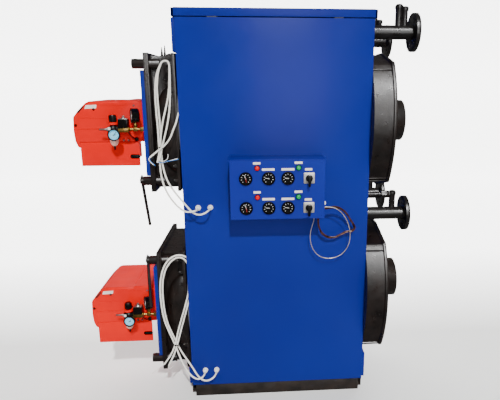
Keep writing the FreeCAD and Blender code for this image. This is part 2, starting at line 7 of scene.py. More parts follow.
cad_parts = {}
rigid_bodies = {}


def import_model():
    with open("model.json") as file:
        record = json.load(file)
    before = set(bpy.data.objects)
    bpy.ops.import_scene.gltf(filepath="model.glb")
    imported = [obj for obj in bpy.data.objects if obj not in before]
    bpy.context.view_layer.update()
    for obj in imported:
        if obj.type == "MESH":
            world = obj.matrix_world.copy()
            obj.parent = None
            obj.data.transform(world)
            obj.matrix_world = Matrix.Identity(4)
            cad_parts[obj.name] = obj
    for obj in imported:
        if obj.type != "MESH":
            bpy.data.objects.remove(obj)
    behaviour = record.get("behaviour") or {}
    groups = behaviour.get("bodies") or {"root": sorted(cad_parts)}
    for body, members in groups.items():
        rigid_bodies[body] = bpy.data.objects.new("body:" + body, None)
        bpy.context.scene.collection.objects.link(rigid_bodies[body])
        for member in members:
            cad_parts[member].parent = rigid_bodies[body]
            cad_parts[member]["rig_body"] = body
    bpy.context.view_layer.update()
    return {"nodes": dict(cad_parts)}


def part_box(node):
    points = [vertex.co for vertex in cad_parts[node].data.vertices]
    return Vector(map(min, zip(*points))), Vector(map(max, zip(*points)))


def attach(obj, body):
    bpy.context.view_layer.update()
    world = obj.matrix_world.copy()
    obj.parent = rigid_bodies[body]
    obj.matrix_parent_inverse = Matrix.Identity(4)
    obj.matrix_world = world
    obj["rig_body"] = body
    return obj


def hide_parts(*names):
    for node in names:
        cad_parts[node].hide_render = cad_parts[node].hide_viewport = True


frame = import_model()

NODES = frame["nodes"]
MM = 0.001
LEFT, RIGHT = Vector((-1, 0, 0)), Vector((1, 0, 0))
NEAR, FAR = Vector((0, -1, 0)), Vector((0, 1, 0))
UP, DOWN = Vector((0, 0, 1)), Vector((0, 0, -1))

# Heights of each boiler's burner axis and of its flue axis.
FRONT_AXIS = {"upper": 1.355, "lower": 0.458}
REAR_AXIS = {"upper": 1.351, "lower": 0.510}
DECKS = ("upper", "lower")

# Control box layout: columns along X, rows along Z.
GAUGE_COLUMNS = (-0.139, -0.041, 0.0425)
SWITCH_COLUMN = 0.134
LAMP_COLUMNS = {"red_lamps": -0.0895, "green_lamps": 0.0885}
ROWS = (1.133, 1.0025)
LAMP_RISE = (0.0455, 0.0485)
GLANDS = ((-0.360, 0.978), (-0.305, 0.978), (-0.360, 0.148), (-0.305, 0.148))
LABEL_HEIGHT = 0.0098

# Casing, front headers and smoke boxes.
PANEL_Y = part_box("near_side_panel")[0].y
CASING_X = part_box("near_side_panel")[1].x
TUBE_PLATE_X = -0.450
RIM_X = -0.554
HEADER_HALF_WIDTH = 0.190
HEADER_HALF_HEIGHT = 0.292
SPIGOT_LENGTH = 0.109
SPIGOT_RADIUS = 0.100
SMOKE_HALF_WIDTH = 0.316
SMOKE_BOW = 0.085
SMOKE_SIDE_HALF_HEIGHT = 0.261
SMOKE_END_X = 0.513

# Water pipes; each socket is (X, rise over the pipe).
PIPE_HEIGHT = {"upper": 1.748, "lower": 0.927}
PIPE_Y = 0.220
PIPE_RADIUS = 0.03015
PIPE_BORE = 0.02725
FLANGE_BACK = 0.600
FLANGE_FACE = 0.618
SOCKETS = {"upper": ((0.540, 0.113), (0.567, 0.104)), "lower": ((0.550, 0.106),)}

# Latches, burner hoods and the fittings on them.
LATCH_Y = -0.216
LATCH_RISE = 0.257
HOOD_Y = -0.160
HOOD_GAP = 0.050
FITTING_Y = -0.210
FITTING_DROP = 0.024
REGULATOR_X = -0.723
SOLENOID_X = -0.677
MANOMETER_X = -0.626
MANOMETER_TURN = math.radians(22)


# ------------------------------------------------------------ camera, light and floor
FLOOR = -0.001
SWEEP_START, SWEEP_BEND = 5.4, 1.6
SURROUND_RADIUS = 8.6
STUDIO_HEIGHT = 12.0


def camera():
    """A camera a little above the control box and left of the middle, looking slightly down."""
    lens = bpy.data.cameras.new("camera")
    lens.sensor_width = 36.0
    lens.lens = 34.65
    lens.shift_x = -0.0784
    holder = bpy.data.objects.new("camera", lens)
    holder.location = (-0.098, -2.414, 1.520)
    holder.rotation_euler = (math.radians(76.64), 0.0, math.radians(-4.10))
    bpy.context.scene.collection.objects.link(holder)
    bpy.context.scene.camera = holder


def lamp(name, kind, power, place, aim, size):
    data = bpy.data.lights.new(name, kind)
    data.energy = power
    if kind == "SUN":
        data.angle = size
    else:
        data.size = size
    holder = bpy.data.objects.new(name, data)
    holder.location = place
    holder.rotation_euler = (Vector(aim) - Vector(place)).to_track_quat("-Z", "Y").to_euler()
    bpy.context.scene.collection.objects.link(holder)


def studio():
    """A white sweep lit from behind, a hard key light high in front and one large soft light."""
    world = bpy.data.worlds.new("room")
    bpy.context.scene.world = world
    world.use_nodes = True
    backdrop = world.node_tree.nodes["Background"]
    backdrop.inputs["Color"].default_value = (1.0, 1.0, 1.0, 1.0)
    backdrop.inputs["Strength"].default_value = 0.10
    lamp("key", "SUN", 4.0, (0.12, -1.0, 0.96), (0, 0, 0), math.radians(2.0))
    lamp("front softbox", "AREA", 42.0, (0.5, -3.4, 2.1), (0.1, 0, 1.0), 1.7)
    sweep()
    surround()


def paper(name, bm, tint, strength):
    """A stage piece of pale paper that glows, kept out of reflections so that black paint stays black."""
    mesh = bpy.data.meshes.new(name)
    bm.to_mesh(mesh)
    bm.free()
    made = bpy.data.objects.new(name, mesh)
    bpy.context.scene.collection.objects.link(made)
    material, tree, shader, place = finish_of(tint, "f4f4f2", 0.9, Emission_Strength=strength)
    shader.inputs["Emission Color"].default_value = (1.0, 1.0, 1.0, 1.0)
    mesh.materials.append(material)
    made.visible_glossy = False
    return made, tree, shader, place


def sweep():
    """A pale floor that curves up into a wall behind; paper with light behind its far part."""
    outline = [(-9.0, FLOOR), (SWEEP_START, FLOOR)]
    for k in range(1, 13):
        turn = math.radians(7.5 * k)
        outline.append((SWEEP_START + SWEEP_BEND * math.sin(turn), SWEEP_BEND - SWEEP_BEND * math.cos(turn)))
    outline.append((SWEEP_START + SWEEP_BEND, STUDIO_HEIGHT))
    bm = bmesh.new()
    rows = [[bm.verts.new((x, y, z)) for x in (-9.0, 9.0)] for y, z in outline]
    for one, other in zip(rows, rows[1:]):
        bm.faces.new((one[0], one[1], other[1], other[0])).smooth = True
    _, tree, shader, place = paper("sweep", bm, "white paper", 0.0)
    depth = add(tree, "ShaderNodeSeparateXYZ", {"Vector": place})
    glow = add(tree, "ShaderNodeMapRange", {"Value": depth.outputs["Y"], "From Min": 0.3, "From Max": 1.8,
                                            "To Min": 0.0, "To Max": 3.6})
    tree.links.new(glow.outputs["Result"], shader.inputs["Emission Strength"])


def surround():
    """A pale ring of paper round the whole studio, which shows behind the object and lights nothing."""
    bm = bmesh.new()
    for k in range(48):
        ends = [math.radians(7.5 * (k + step)) for step in (0, 1)]
        low, high = [[bm.verts.new((SURROUND_RADIUS * math.cos(a), SURROUND_RADIUS * math.sin(a), z))
                      for a in ends] for z in (-0.5, STUDIO_HEIGHT)]
        bm.faces.new((low[1], low[0], high[0], high[1]))
    ring = paper("surround", bm, "lit paper", 2.0)[0]
    ring.visible_diffuse = False
    ring.visible_shadow = False


# ------------------------------------------------------------ material building blocks
def linear(code):
    """An sRGB hex colour as linear RGBA."""
    parts = [int(code[i:i + 2], 16) / 255 for i in (0, 2, 4)]
    flat = [c / 12.92 if c <= 0.04045 else ((c + 0.055) / 1.055) ** 2.4 for c in parts]
    return (*flat, 1.0)


def add(tree, kind, feeds=(), **settings):
    """One node with its settings, its socket values and its links."""
    made = tree.nodes.new(kind)
    for name, value in settings.items():
        setattr(made, name, value)
    for socket, value in dict(feeds).items():
        if isinstance(value, bpy.types.NodeSocket):
            tree.links.new(value, made.inputs[socket])
        else:
            made.inputs[socket].default_value = value
    return made


def finish_of(name, colour, roughness, **sockets):
    """A new material: its node tree, its shader and the object coordinates that patterns read."""
    material = bpy.data.materials.new(name)
    material.use_nodes = True
    tree = material.node_tree
    shader = tree.nodes["Principled BSDF"]
    shader.inputs["Base Color"].default_value = linear(colour)
    shader.inputs["Roughness"].default_value = roughness
    for socket, value in sockets.items():
        shader.inputs[socket.replace("_", " ")].default_value = value
    place = add(tree, "ShaderNodeTexCoord").outputs["Object"]
    return material, tree, shader, place


def mottle(tree, place, spacing, low, high, detail=3.0, rough=0.55):
    """Soft patches about one spacing across, from a low to a high value."""
    noise = add(tree, "ShaderNodeTexNoise", {"Vector": place, "Scale": 1 / spacing, "Detail": detail,
                                             "Roughness": rough})
    span = add(tree, "ShaderNodeMapRange", {"Value": noise.outputs["Fac"], "From Min": 0.3,
                                            "From Max": 0.7, "To Min": low, "To Max": high})
    return span.outputs["Result"]


def two_tone(tree, shader, factor, first, second):
    """The base colour runs between two colours."""
    ramp = add(tree, "ShaderNodeValToRGB", {"Fac": factor})
    ramp.color_ramp.elements[0].color = linear(first)
    ramp.color_ramp.elements[1].color = linear(second)
    tree.links.new(ramp.outputs["Color"], shader.inputs["Base Color"])


def relief(tree, shader, height, depth):
    """Small unevenness of a given depth in metres."""
    bump = add(tree, "ShaderNodeBump", {"Height": height, "Distance": depth, "Strength": 1.0})
    tree.links.new(bump.outputs["Normal"], shader.inputs["Normal"])


def edge_wear(tree, place, width, amount):
    """A mask that is high on convex edges and broken up by noise, for rubbed paint."""
    bevel = add(tree, "ShaderNodeBevel", {"Radius": width}, samples=4)
    flat = add(tree, "ShaderNodeNewGeometry")
    across = add(tree, "ShaderNodeVectorMath", {0: bevel.outputs["Normal"], 1: flat.outputs["Normal"]},
                 operation="DOT_PRODUCT")
    bare = add(tree, "ShaderNodeMapRange", {"Value": across.outputs["Value"], "From Min": 0.97,
                                            "From Max": 0.80, "To Min": 0.0, "To Max": amount})
    patch = mottle(tree, place, 0.02, 0.0, 1.0)
    return add(tree, "ShaderNodeMath", {0: bare.outputs["Result"], 1: patch},
               operation="MULTIPLY").outputs["Value"]


# ------------------------------------------------------------ finishes
def powder_coat(name, colour, shade):
    """Polyester powder coat on sheet steel: satin, with a faint orange peel and slow waves in the
    sheet. The peel is drawn at 9 mm, coarser than the real 2 mm, so that it shows."""
    material, tree, shader, place = finish_of(name, colour, 0.36, Specular_IOR_Level=0.12)
    two_tone(tree, shader, mottle(tree, place, 0.45, 0.0, 1.0, detail=1.0), colour, shade)
    tree.links.new(mottle(tree, place, 0.12, 0.30, 0.40), shader.inputs["Roughness"])
    waves = mottle(tree, place, 0.26, 0.0, 1.0, detail=0.0)
    peel = mottle(tree, place, 0.009, 0.0, 0.06, detail=1.0)
    both = add(tree, "ShaderNodeMath", {0: waves, 1: peel}, operation="ADD")
    relief(tree, shader, both.outputs["Value"], 0.0012)
    return material


def stove_black(name, colour, dusty, roughness):
    """Heat-resistant silicone paint, sprayed: dark, satin, with brownish dust and dry overspray."""
    material, tree, shader, place = finish_of(name, colour, roughness, Specular_IOR_Level=0.75)
    dust = mottle(tree, place, 0.07, 0.0, 1.0)
    rubbed = edge_wear(tree, place, 0.002, 0.9)
    mix = add(tree, "ShaderNodeMath", {0: dust, 1: rubbed}, operation="MAXIMUM")
    two_tone(tree, shader, mix.outputs["Value"], colour, dusty)
    tree.links.new(mottle(tree, place, 0.03, roughness - 0.08, roughness + 0.10), shader.inputs["Roughness"])
    relief(tree, shader, mottle(tree, place, 0.004, 0.0, 1.0), 0.0003)
    return material


def mottled(name, dark, light, roughness, patch, grain, depth, detail=3.0, rolling=3.0, **sockets):
    """A finish in two close tones, in soft patches, with a fine unevenness; a depth of 0 leaves that out."""
    material, tree, shader, place = finish_of(name, dark, roughness, **sockets)
    two_tone(tree, shader, mottle(tree, place, patch, 0.0, 1.0, detail=detail), dark, light)
    if depth:
        relief(tree, shader, mottle(tree, place, grain, 0.0, 1.0, detail=rolling), depth)
    return material


def cast_refractory():
    """Castable refractory concrete: pale buff, matt, pitted by air bubbles."""
    material, tree, shader, place = finish_of("cast refractory", "bfb09a", 0.95)
    two_tone(tree, shader, mottle(tree, place, 0.03, 0.0, 1.0), "a89880", "cfc2ad")
    pits = add(tree, "ShaderNodeTexVoronoi", {"Vector": place, "Scale": 1 / 0.012})
    relief(tree, shader, pits.outputs["Distance"], 0.0015)
    return material


def glass_rope():
    """Braided glass-fibre rope: off-white, matt, with a crossing braid about 4 mm apart."""
    material, tree, shader, place = finish_of("glass rope", "d8d2c2", 0.9)
    braid = add(tree, "ShaderNodeTexWave", {"Vector": place, "Scale": 1 / 0.016, "Distortion": 1.5},
                bands_direction="DIAGONAL")
    two_tone(tree, shader, braid.outputs["Fac"], "b3ab98", "e2ddcf")
    relief(tree, shader, braid.outputs["Fac"], 0.0012)
    return material


def turned_brass():
    """Free-cutting brass, turned and pressed: warm yellow with dull patches."""
    material, tree, shader, place = finish_of("turned brass", "c39a4e", 0.33, Metallic=1.0)
    two_tone(tree, shader, mottle(tree, place, 0.010, 0.0, 1.0), "a47d38", "d8b468")
    lathe = add(tree, "ShaderNodeTexWave", {"Vector": place, "Scale": 1 / 0.004})
    relief(tree, shader, lathe.outputs["Fac"], 0.0001)
    return material


def anodised_plate():
    """Satin anodised aluminium, brushed along X: fine level lines, drawn 1.5 mm apart."""
    material, tree, shader, place = finish_of("anodised aluminium", "c9c7c3", 0.42, Metallic=0.75)
    stretch = add(tree, "ShaderNodeMapping", {"Vector": place, "Scale": (4.0, 1.0, 1 / 0.0015)})
    lines = add(tree, "ShaderNodeTexNoise", {"Vector": stretch.outputs["Vector"], "Scale": 1.0})
    two_tone(tree, shader, lines.outputs["Fac"], "b5b2ad", "dcd9d4")
    relief(tree, shader, lines.outputs["Fac"], 0.0001)
    return material


def moulded(name, colour, shade, roughness, grain=0.0002, **sockets):
    """Injection-moulded plastic: even colour, soft gloss and a fine spark-eroded grain."""
    return mottled(name, colour, shade, roughness, 0.03, 0.0025, grain, detail=1.0, **sockets)


def lamp_lens(name, colour, deep):
    """Polycarbonate signal lens, lit weakly from behind, with moulded rings 2 mm apart."""
    material, tree, shader, place = finish_of(name, colour, 0.22, Specular_IOR_Level=0.3,
                                              Emission_Strength=0.45)
    shader.inputs["Emission Color"].default_value = linear(colour)
    two_tone(tree, shader, mottle(tree, place, 0.008, 0.0, 1.0), deep, colour)
    rings = add(tree, "ShaderNodeTexWave", {"Vector": place, "Scale": 1 / 0.008}, wave_type="RINGS",
                rings_direction="Y")
    relief(tree, shader, rings.outputs["Fac"], 0.0002)
    return material


def clear_plastic():
    """Clear polycarbonate of the filter bowl: glassy, its colour painted slightly pink for the enamel seen
    through it.
    """
    material, tree, shader, place = finish_of("clear polycarbonate", "f0b8a8", 0.2,
                                              Transmission_Weight=0.3, IOR=1.4)
    tree.links.new(mottle(tree, place, 0.006, 0.08, 0.25), shader.inputs["Roughness"])
    return material


def gauge_glass():
    """Flat float glass over a dial: a thin clear film with a sharp reflection."""
    material, tree, shader, place = finish_of("gauge glass", "eef6f8", 0.04, IOR=1.45, Alpha=0.05)
    tree.links.new(mottle(tree, place, 0.02, 0.03, 0.07), shader.inputs["Roughness"])
    return material


def make_finishes():
    """Every finish under the name that the pieces use; the mottled ones say what they are beside them."""
    return {
        "casing": powder_coat("ultramarine powder coat", "121e74", "14227c"),
        "box": powder_coat("control box powder coat", "16207c", "1a2686"),
        "plinth": stove_black("plinth paint", "140f0c", "2b211b", 0.50),
        "boiler": stove_black("stove black", "0a0605", "1f1511", 0.34),
        "pipe": stove_black("pipe black", "080606", "181312", 0.30),
        "lever": stove_black("lever black", "0a0706", "201713", 0.38),
        # Gloss orange-red enamel on pressed sheet: bright and slightly wavy.
        "enamel": mottled("gloss enamel", "d20600", "dc0a00", 0.34, 0.12, 0.09, 0.0015, detail=1.0,
                          rolling=0.0, Specular_IOR_Level=0.15),
        "refractory": cast_refractory(),
        "rope": glass_rope(),
        # Grey zinc primer, rolled on: matt and uneven.
        "primer": mottled("zinc primer", "4c5054", "696d70", 0.75, 0.05, 0.006, 0.0003),
        # Bright zinc plating on bolts and screws: bluish silver with slight yellow bloom.
        "zinc": mottled("zinc plating", "b7babd", "cfcbbf", 0.32, 0.006, 0.002, 0.0001, Metallic=1.0),
        "brass": turned_brass(),
        "plate": anodised_plate(),
        "black plastic": moulded("black polyamide", "060606", "0c0c0c", 0.34, Specular_IOR_Level=0.3),
        "gloss black": moulded("gloss black enamel", "050404", "0a0807", 0.16, grain=0.00005),
        "dial black": moulded("dial black", "040404", "080808", 0.6, Specular_IOR_Level=0.1),
        "white plastic": moulded("white polyamide", "ece9e2", "f4f2ec", 0.45),
        "cable": moulded("white cable sheath", "e9e5da", "f5f2e9", 0.5),
        "print white": moulded("dial print", "f2f2ee", "ffffff", 0.6),
        "label": moulded("engraved label stock", "e4dad0", "f0e8e0", 0.5),
        "dial pale": moulded("pale dial card", "5cc4ee", "8cd8f5", 0.6),
        "dial white": moulded("white dial card", "e9e9e6", "f6f6f4", 0.5),
        "red pointer": moulded("red pointer", "c5200e", "da2a15", 0.4),
        "blue core": moulded("blue core sheath", "1f6fc4", "2a80d8", 0.4),
        "red lens": lamp_lens("red lens", "c80000", "a00000"),
        "green lens": lamp_lens("green lens", "009448", "007038"),
        "bowl": clear_plastic(),
        "glass": gauge_glass(),
        # Lacquered copper capillary: thin brown tube, glossy, darker where it was handled.
        "capillary": mottled("lacquered capillary", "1c0d09", "6b4432", 0.26, 0.02, 0.003, 0.0001,
                             Metallic=0.3),
        # Tinned copper capillary: pale, warm silver, dull in places.
        "bare capillary": mottled("tinned capillary", "a89a8e", "d9cfc6", 0.35, 0.02, 0.003, 0.0,
                                  Metallic=0.6),
        # Soot and scale in the gas ways, and painted shade for the depth of tube bores, boss sockets and a
        # dark line on the hood: deep black, dry, flaky.
        "soot_and_hole_shade": mottled("soot_and_hole_shade", "0d0b0a", "2a241f", 0.95, 0.02, 0.006, 0.0008),
    }


# ------------------------------------------------------------ making pieces
def settle(piece, body, replaced=(), angle=40.0):
    """Applies modifiers, shades smooth with sharp edges, and hands the piece to its body."""
    bpy.context.view_layer.update()
    if piece.modifiers or piece.type != "MESH":
        source = piece.evaluated_get(bpy.context.evaluated_depsgraph_get())
        mesh = bpy.data.meshes.new_from_object(source)
        name = piece.name
        bpy.data.objects.remove(piece)
        piece = bpy.data.objects.new(name, mesh)
        bpy.context.scene.collection.objects.link(piece)
    piece.data.polygons.foreach_set("use_smooth", [True] * len(piece.data.polygons))
    piece.data.set_sharp_from_angle(angle=math.radians(angle))
    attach(piece, body)
    if replaced:
        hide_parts(*replaced)
    return piece


def piece_from(name, bm, finish):
    bmesh.ops.recalc_face_normals(bm, faces=bm.faces)
    mesh = bpy.data.meshes.new(name)
    bm.to_mesh(mesh)
    bm.free()
    mesh.materials.append(FINISH[finish])
    made = bpy.data.objects.new(name, mesh)
    bpy.context.scene.collection.objects.link(made)
    return made


def turned(name, start, axis, profile, sides, finish, body, replaced=()):
    """A piece of one lathe profile."""
    bm = bmesh.new()
    lathe(bm, start, axis, profile, sides)
    return settle(piece_from(name, bm, finish), body, replaced)


def rounded_edges(piece, width, segments=2, angle=35.0):
    rounding = piece.modifiers.new("edge rounding", "BEVEL")
    rounding.width = width
    rounding.segments = segments
    rounding.limit_method = "ANGLE"
    rounding.angle_limit = math.radians(angle)
    return piece


def lathe(bm, start, axis, profile, sides=32):
    """Turns (distance along the axis, radius) points round an axis. An open end is closed flat."""
    turn = axis.to_track_quat("Z", "Y")
    rings = []
    if profile[0] != profile[-1]:
        profile = [(profile[0][0], 0), *profile, (profile[-1][0], 0)]
    for along, radius in profile:
        if radius == 0:
            if not rings or len(rings[-1]) > 1:
                rings.append([bm.verts.new(start + turn @ Vector((0, 0, along)))])
            continue
        ring = []
        for k in range(sides):
            angle = 2 * math.pi * k / sides
            spot = Vector((radius * math.cos(angle), radius * math.sin(angle), along))
            ring.append(bm.verts.new(start + turn @ spot))
        rings.append(ring)
    for one, other in zip(rings, rings[1:]):
        for k in range(sides):
            nxt = (k + 1) % sides
            if len(one) == 1 and len(other) > 1:
                bm.faces.new((one[0], other[k], other[nxt]))
            elif len(other) == 1 and len(one) > 1:
                bm.faces.new((one[k], other[0], one[nxt]))
            elif len(one) > 1:
                bm.faces.new((one[k], other[k], other[nxt], one[nxt]))


def slab(bm, low, high):
    """A box between two corners."""
    made = bmesh.ops.create_cube(bm, size=1.0)["verts"]
    low, high = Vector(low), Vector(high)
    for vertex in made:
        vertex.co = Vector([(l + h) / 2 + c * (h - l) for l, h, c in zip(low, high, vertex.co)])


def shaped_plate(bm, outline, push):
    """A flat outline pushed into a plate."""
    face = bm.faces.new([bm.verts.new(p) for p in outline])
    moved = bmesh.ops.extrude_face_region(bm, geom=[face])["geom"]
    bmesh.ops.translate(bm, vec=push, verts=[g for g in moved if isinstance(g, bmesh.types.BMVert)])


def rounded_rectangle(centre, across, up, width, height, radius, steps=4):
    """Corner points of a rectangle with round corners, in the plane of two directions."""
    spots = []
    for quarter in range(4):
        sx = (1, -1, -1, 1)[quarter]
        sz = (1, 1, -1, -1)[quarter]
        for k in range(steps + 1):
            angle = math.pi / 2 * (quarter + k / steps)
            x = sx * (width / 2 - radius) + radius * math.cos(angle)
            z = sz * (height / 2 - radius) + radius * math.sin(angle)
            spots.append(centre + across * x + up * z)
    return spots


def smooth_tube(name, route, radius, finish, sides=12):
    """A round tube along a smooth line through given control points, as a curve object."""
    made = route_curve(name, route, radius, finish)
    made.data.bevel_resolution = max(1, sides // 4 - 1)
    return made


def route_curve(name, route, radius, finish):
    data = bpy.data.curves.new(name, "CURVE")
    data.dimensions = "3D"
    line = data.splines.new("NURBS")
    line.points.add(len(route) - 1)
    for point, spot in zip(line.points, route):
        point.co = (*spot, 1.0)
    line.order_u = 3
    line.use_endpoint_u = True
    line.resolution_u = 8
    data.bevel_depth = radius
    data.bevel_resolution = 3
    data.use_fill_caps = True
    data.materials.append(FINISH[finish])
    made = bpy.data.objects.new(name, data)
    bpy.context.scene.collection.objects.link(made)
    return made


def softened(node, finish, width, segments=2):
    """A CAD node's own shape with its coplanar facets joined and its sharp edges rounded."""
    bm = bmesh.new()
    bm.from_mesh(NODES[node].data)
    bmesh.ops.remove_doubles(bm, verts=bm.verts, dist=1e-5)
    bmesh.ops.dissolve_limit(bm, angle_limit=math.radians(0.5), verts=bm.verts, edges=bm.edges)
    made = piece_from(node + "_finished", bm, finish)
    rounded_edges(made, width, segments)
    return settle(made, NODES[node]["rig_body"], (node,))


# ------------------------------------------------------------ grown hardware (Geometry Nodes)
def new_tree(name, inputs):
    """A geometry tree with its named inputs; returns the tree and its input sockets."""
    tree = bpy.data.node_groups.new(name, "GeometryNodeTree")
    tree.interface.new_socket("Geometry", in_out="OUTPUT", socket_type="NodeSocketGeometry")
    tree.interface.new_socket("Geometry", in_out="INPUT", socket_type="NodeSocketGeometry")
    for label, value in inputs.items():
        kind = "NodeSocketInt" if isinstance(value, int) else "NodeSocketFloat"
        tree.interface.new_socket(label, in_out="INPUT", socket_type=kind).default_value = value
    tree.interface.new_socket("Finish", in_out="INPUT", socket_type="NodeSocketMaterial")
    return tree, add(tree, "NodeGroupInput").outputs


def close_tree(tree, shape, finish):
    real = add(tree, "GeometryNodeRealizeInstances", {"Geometry": shape})
    coloured = add(tree, "GeometryNodeSetMaterial", {"Geometry": real.outputs[0], "Material": finish})
    add(tree, "NodeGroupOutput", {"Geometry": coloured.outputs[0]})
    return tree


def joined(tree, *shapes):
    join = tree.nodes.new("GeometryNodeJoinGeometry")
    for shape in shapes:
        tree.links.new(shape, join.inputs[0])
    return join.outputs[0]


def disc(tree, radius, depth, rise, sides):
    """A short cylinder whose middle stands a given rise above the seat."""
    body = add(tree, "GeometryNodeMeshCylinder", {"Vertices": sides, "Radius": radius, "Depth": depth})
    lift = add(tree, "ShaderNodeCombineXYZ", {"Z": rise})
    moved = add(tree, "GeometryNodeTransform", {"Geometry": body.outputs[0],
                                                "Translation": lift.outputs[0]})
    return moved.outputs[0]


def scaled(tree, value, factor):
    return add(tree, "ShaderNodeMath", {0: value, 1: factor}, operation="MULTIPLY").outputs[0]


def on_points(tree, points, shape):
    """One copy on each point, its own Z turned to the point's facing."""
    facing = add(tree, "GeometryNodeInputNamedAttribute", {"Name": "facing"}, data_type="FLOAT_VECTOR")
    turn = add(tree, "FunctionNodeAlignRotationToVector", {"Vector": facing.outputs[0]}, axis="Z")
    placed = add(tree, "GeometryNodeInstanceOnPoints", {"Points": points, "Instance": shape,
                                                        "Rotation": turn.outputs[0]})
    return placed.outputs[0]


def hex_bolt_tree():
    """Hexagon head on a washer, with the end of the thread showing as on a stud and nut."""
    tree, sizes = new_tree("hexagon bolts", {"Across flats": 0.017, "Height": 0.010, "Thread": 0.004})
    washer = disc(tree, scaled(tree, sizes["Across flats"], 0.72), 0.002, 0.001, 20)
    half = scaled(tree, sizes["Height"], 0.5)
    lifted = add(tree, "ShaderNodeMath", {0: half, 1: 0.002}, operation="ADD").outputs[0]
    head = disc(tree, scaled(tree, sizes["Across flats"], 0.577), sizes["Height"], lifted, 6)
    top = add(tree, "ShaderNodeMath", {0: sizes["Height"], 1: 0.002}, operation="ADD").outputs[0]
    thread = disc(tree, scaled(tree, sizes["Across flats"], 0.30), scaled(tree, sizes["Thread"], 2.0),
                  top, 12)
    whole = joined(tree, washer, head, thread)
    return close_tree(tree, on_points(tree, sizes["Geometry"], whole), sizes["Finish"])


def cross_screw_tree():
    """Pan-head screw with a raised rim round its cross recess, cut by four wedges."""
    tree, sizes = new_tree("pan-head screws", {"Radius": 0.004, "Height": 0.0025})
    head = add(tree, "GeometryNodeMeshCone", {"Vertices": 16, "Radius Bottom": sizes["Radius"],
                                              "Radius Top": scaled(tree, sizes["Radius"], 0.62),
                                              "Depth": sizes["Height"]})
    wedges = []
    for k in range(4):
        size = add(tree, "ShaderNodeCombineXYZ", {"X": scaled(tree, sizes["Radius"], 0.34),
                                                  "Y": scaled(tree, sizes["Radius"], 0.34),
                                                  "Z": scaled(tree, sizes["Height"], 0.30)})
        lump = add(tree, "GeometryNodeMeshCube", {"Size": size.outputs[0]})
        angle = math.pi / 4 + math.pi / 2 * k
        offset = add(tree, "ShaderNodeCombineXYZ",
                     {"X": scaled(tree, sizes["Radius"], 0.36 * math.cos(angle)),
                      "Y": scaled(tree, sizes["Radius"], 0.36 * math.sin(angle)),
                      "Z": scaled(tree, sizes["Height"], 1.1)})
        wedges.append(add(tree, "GeometryNodeTransform", {"Geometry": lump.outputs[0],
                                                          "Translation": offset.outputs[0]}).outputs[0])
    whole = joined(tree, head.outputs[0], *wedges)
    return close_tree(tree, on_points(tree, sizes["Geometry"], whole), sizes["Finish"])


def dial_mark_tree():
    """Marks on an arc round each point: short bars that point to the dial's centre."""
    tree, sizes = new_tree("dial marks", {"Radius": 0.02, "Count": 9, "Length": 0.005, "Width": 0.0016,
                                          "Start": -0.9, "Sweep": 4.9})
    arc = add(tree, "GeometryNodeCurveArc", {"Radius": sizes["Radius"], "Start Angle": sizes["Start"],
                                             "Sweep Angle": sizes["Sweep"], "Resolution": 48})
    even = add(tree, "GeometryNodeResampleCurve", {"Curve": arc.outputs["Curve"], "Count": sizes["Count"]})
    size = add(tree, "ShaderNodeCombineXYZ", {"X": sizes["Length"], "Y": sizes["Width"], "Z": 0.0006})
    bar = add(tree, "GeometryNodeMeshCube", {"Size": size.outputs[0]})
    spot = add(tree, "GeometryNodeInputPosition")
    turn = add(tree, "FunctionNodeAlignRotationToVector", {"Vector": spot.outputs[0]}, axis="X")
    bars = add(tree, "GeometryNodeInstanceOnPoints", {"Points": even.outputs[0],
                                                      "Instance": bar.outputs[0],
                                                      "Rotation": turn.outputs[0]})
    solid = add(tree, "GeometryNodeRealizeInstances", {"Geometry": bars.outputs[0]})
    return close_tree(tree, on_points(tree, sizes["Geometry"], solid.outputs[0]), sizes["Finish"])


def tube_end_tree():
    """Rolled smoke-tube ends: a rounded ring standing out of the tube plate at each point."""
    tree, sizes = new_tree("smoke tube ends", {"Radius": 0.024, "Wall": 0.003})
    circle = add(tree, "GeometryNodeCurvePrimitiveCircle", {"Resolution": 24, "Radius": sizes["Radius"]},
                 mode="RADIUS")
    section = add(tree, "GeometryNodeCurvePrimitiveCircle", {"Resolution": 8, "Radius": sizes["Wall"]},
                  mode="RADIUS")
    ring = add(tree, "GeometryNodeCurveToMesh", {"Curve": circle.outputs[0],
                                                 "Profile Curve": section.outputs[0]})
    return close_tree(tree, on_points(tree, sizes["Geometry"], ring.outputs[0]), sizes["Finish"])


def rib_tree():
    """Grip ribs round a knob: thin rods parallel to the facing, set on a circle."""
    tree, sizes = new_tree("grip ribs", {"Radius": 0.017, "Count": 24, "Thickness": 0.0011,
                                         "Height": 0.024})
    circle = add(tree, "GeometryNodeMeshCircle", {"Vertices": sizes["Count"], "Radius": sizes["Radius"]})
    rib = add(tree, "GeometryNodeMeshCylinder", {"Vertices": 6, "Radius": sizes["Thickness"],
                                                 "Depth": sizes["Height"]})
    ribs = add(tree, "GeometryNodeInstanceOnPoints", {"Points": circle.outputs[0],
                                                      "Instance": rib.outputs[0]})
    solid = add(tree, "GeometryNodeRealizeInstances", {"Geometry": ribs.outputs[0]})
    return close_tree(tree, on_points(tree, sizes["Geometry"], solid.outputs[0]), sizes["Finish"])


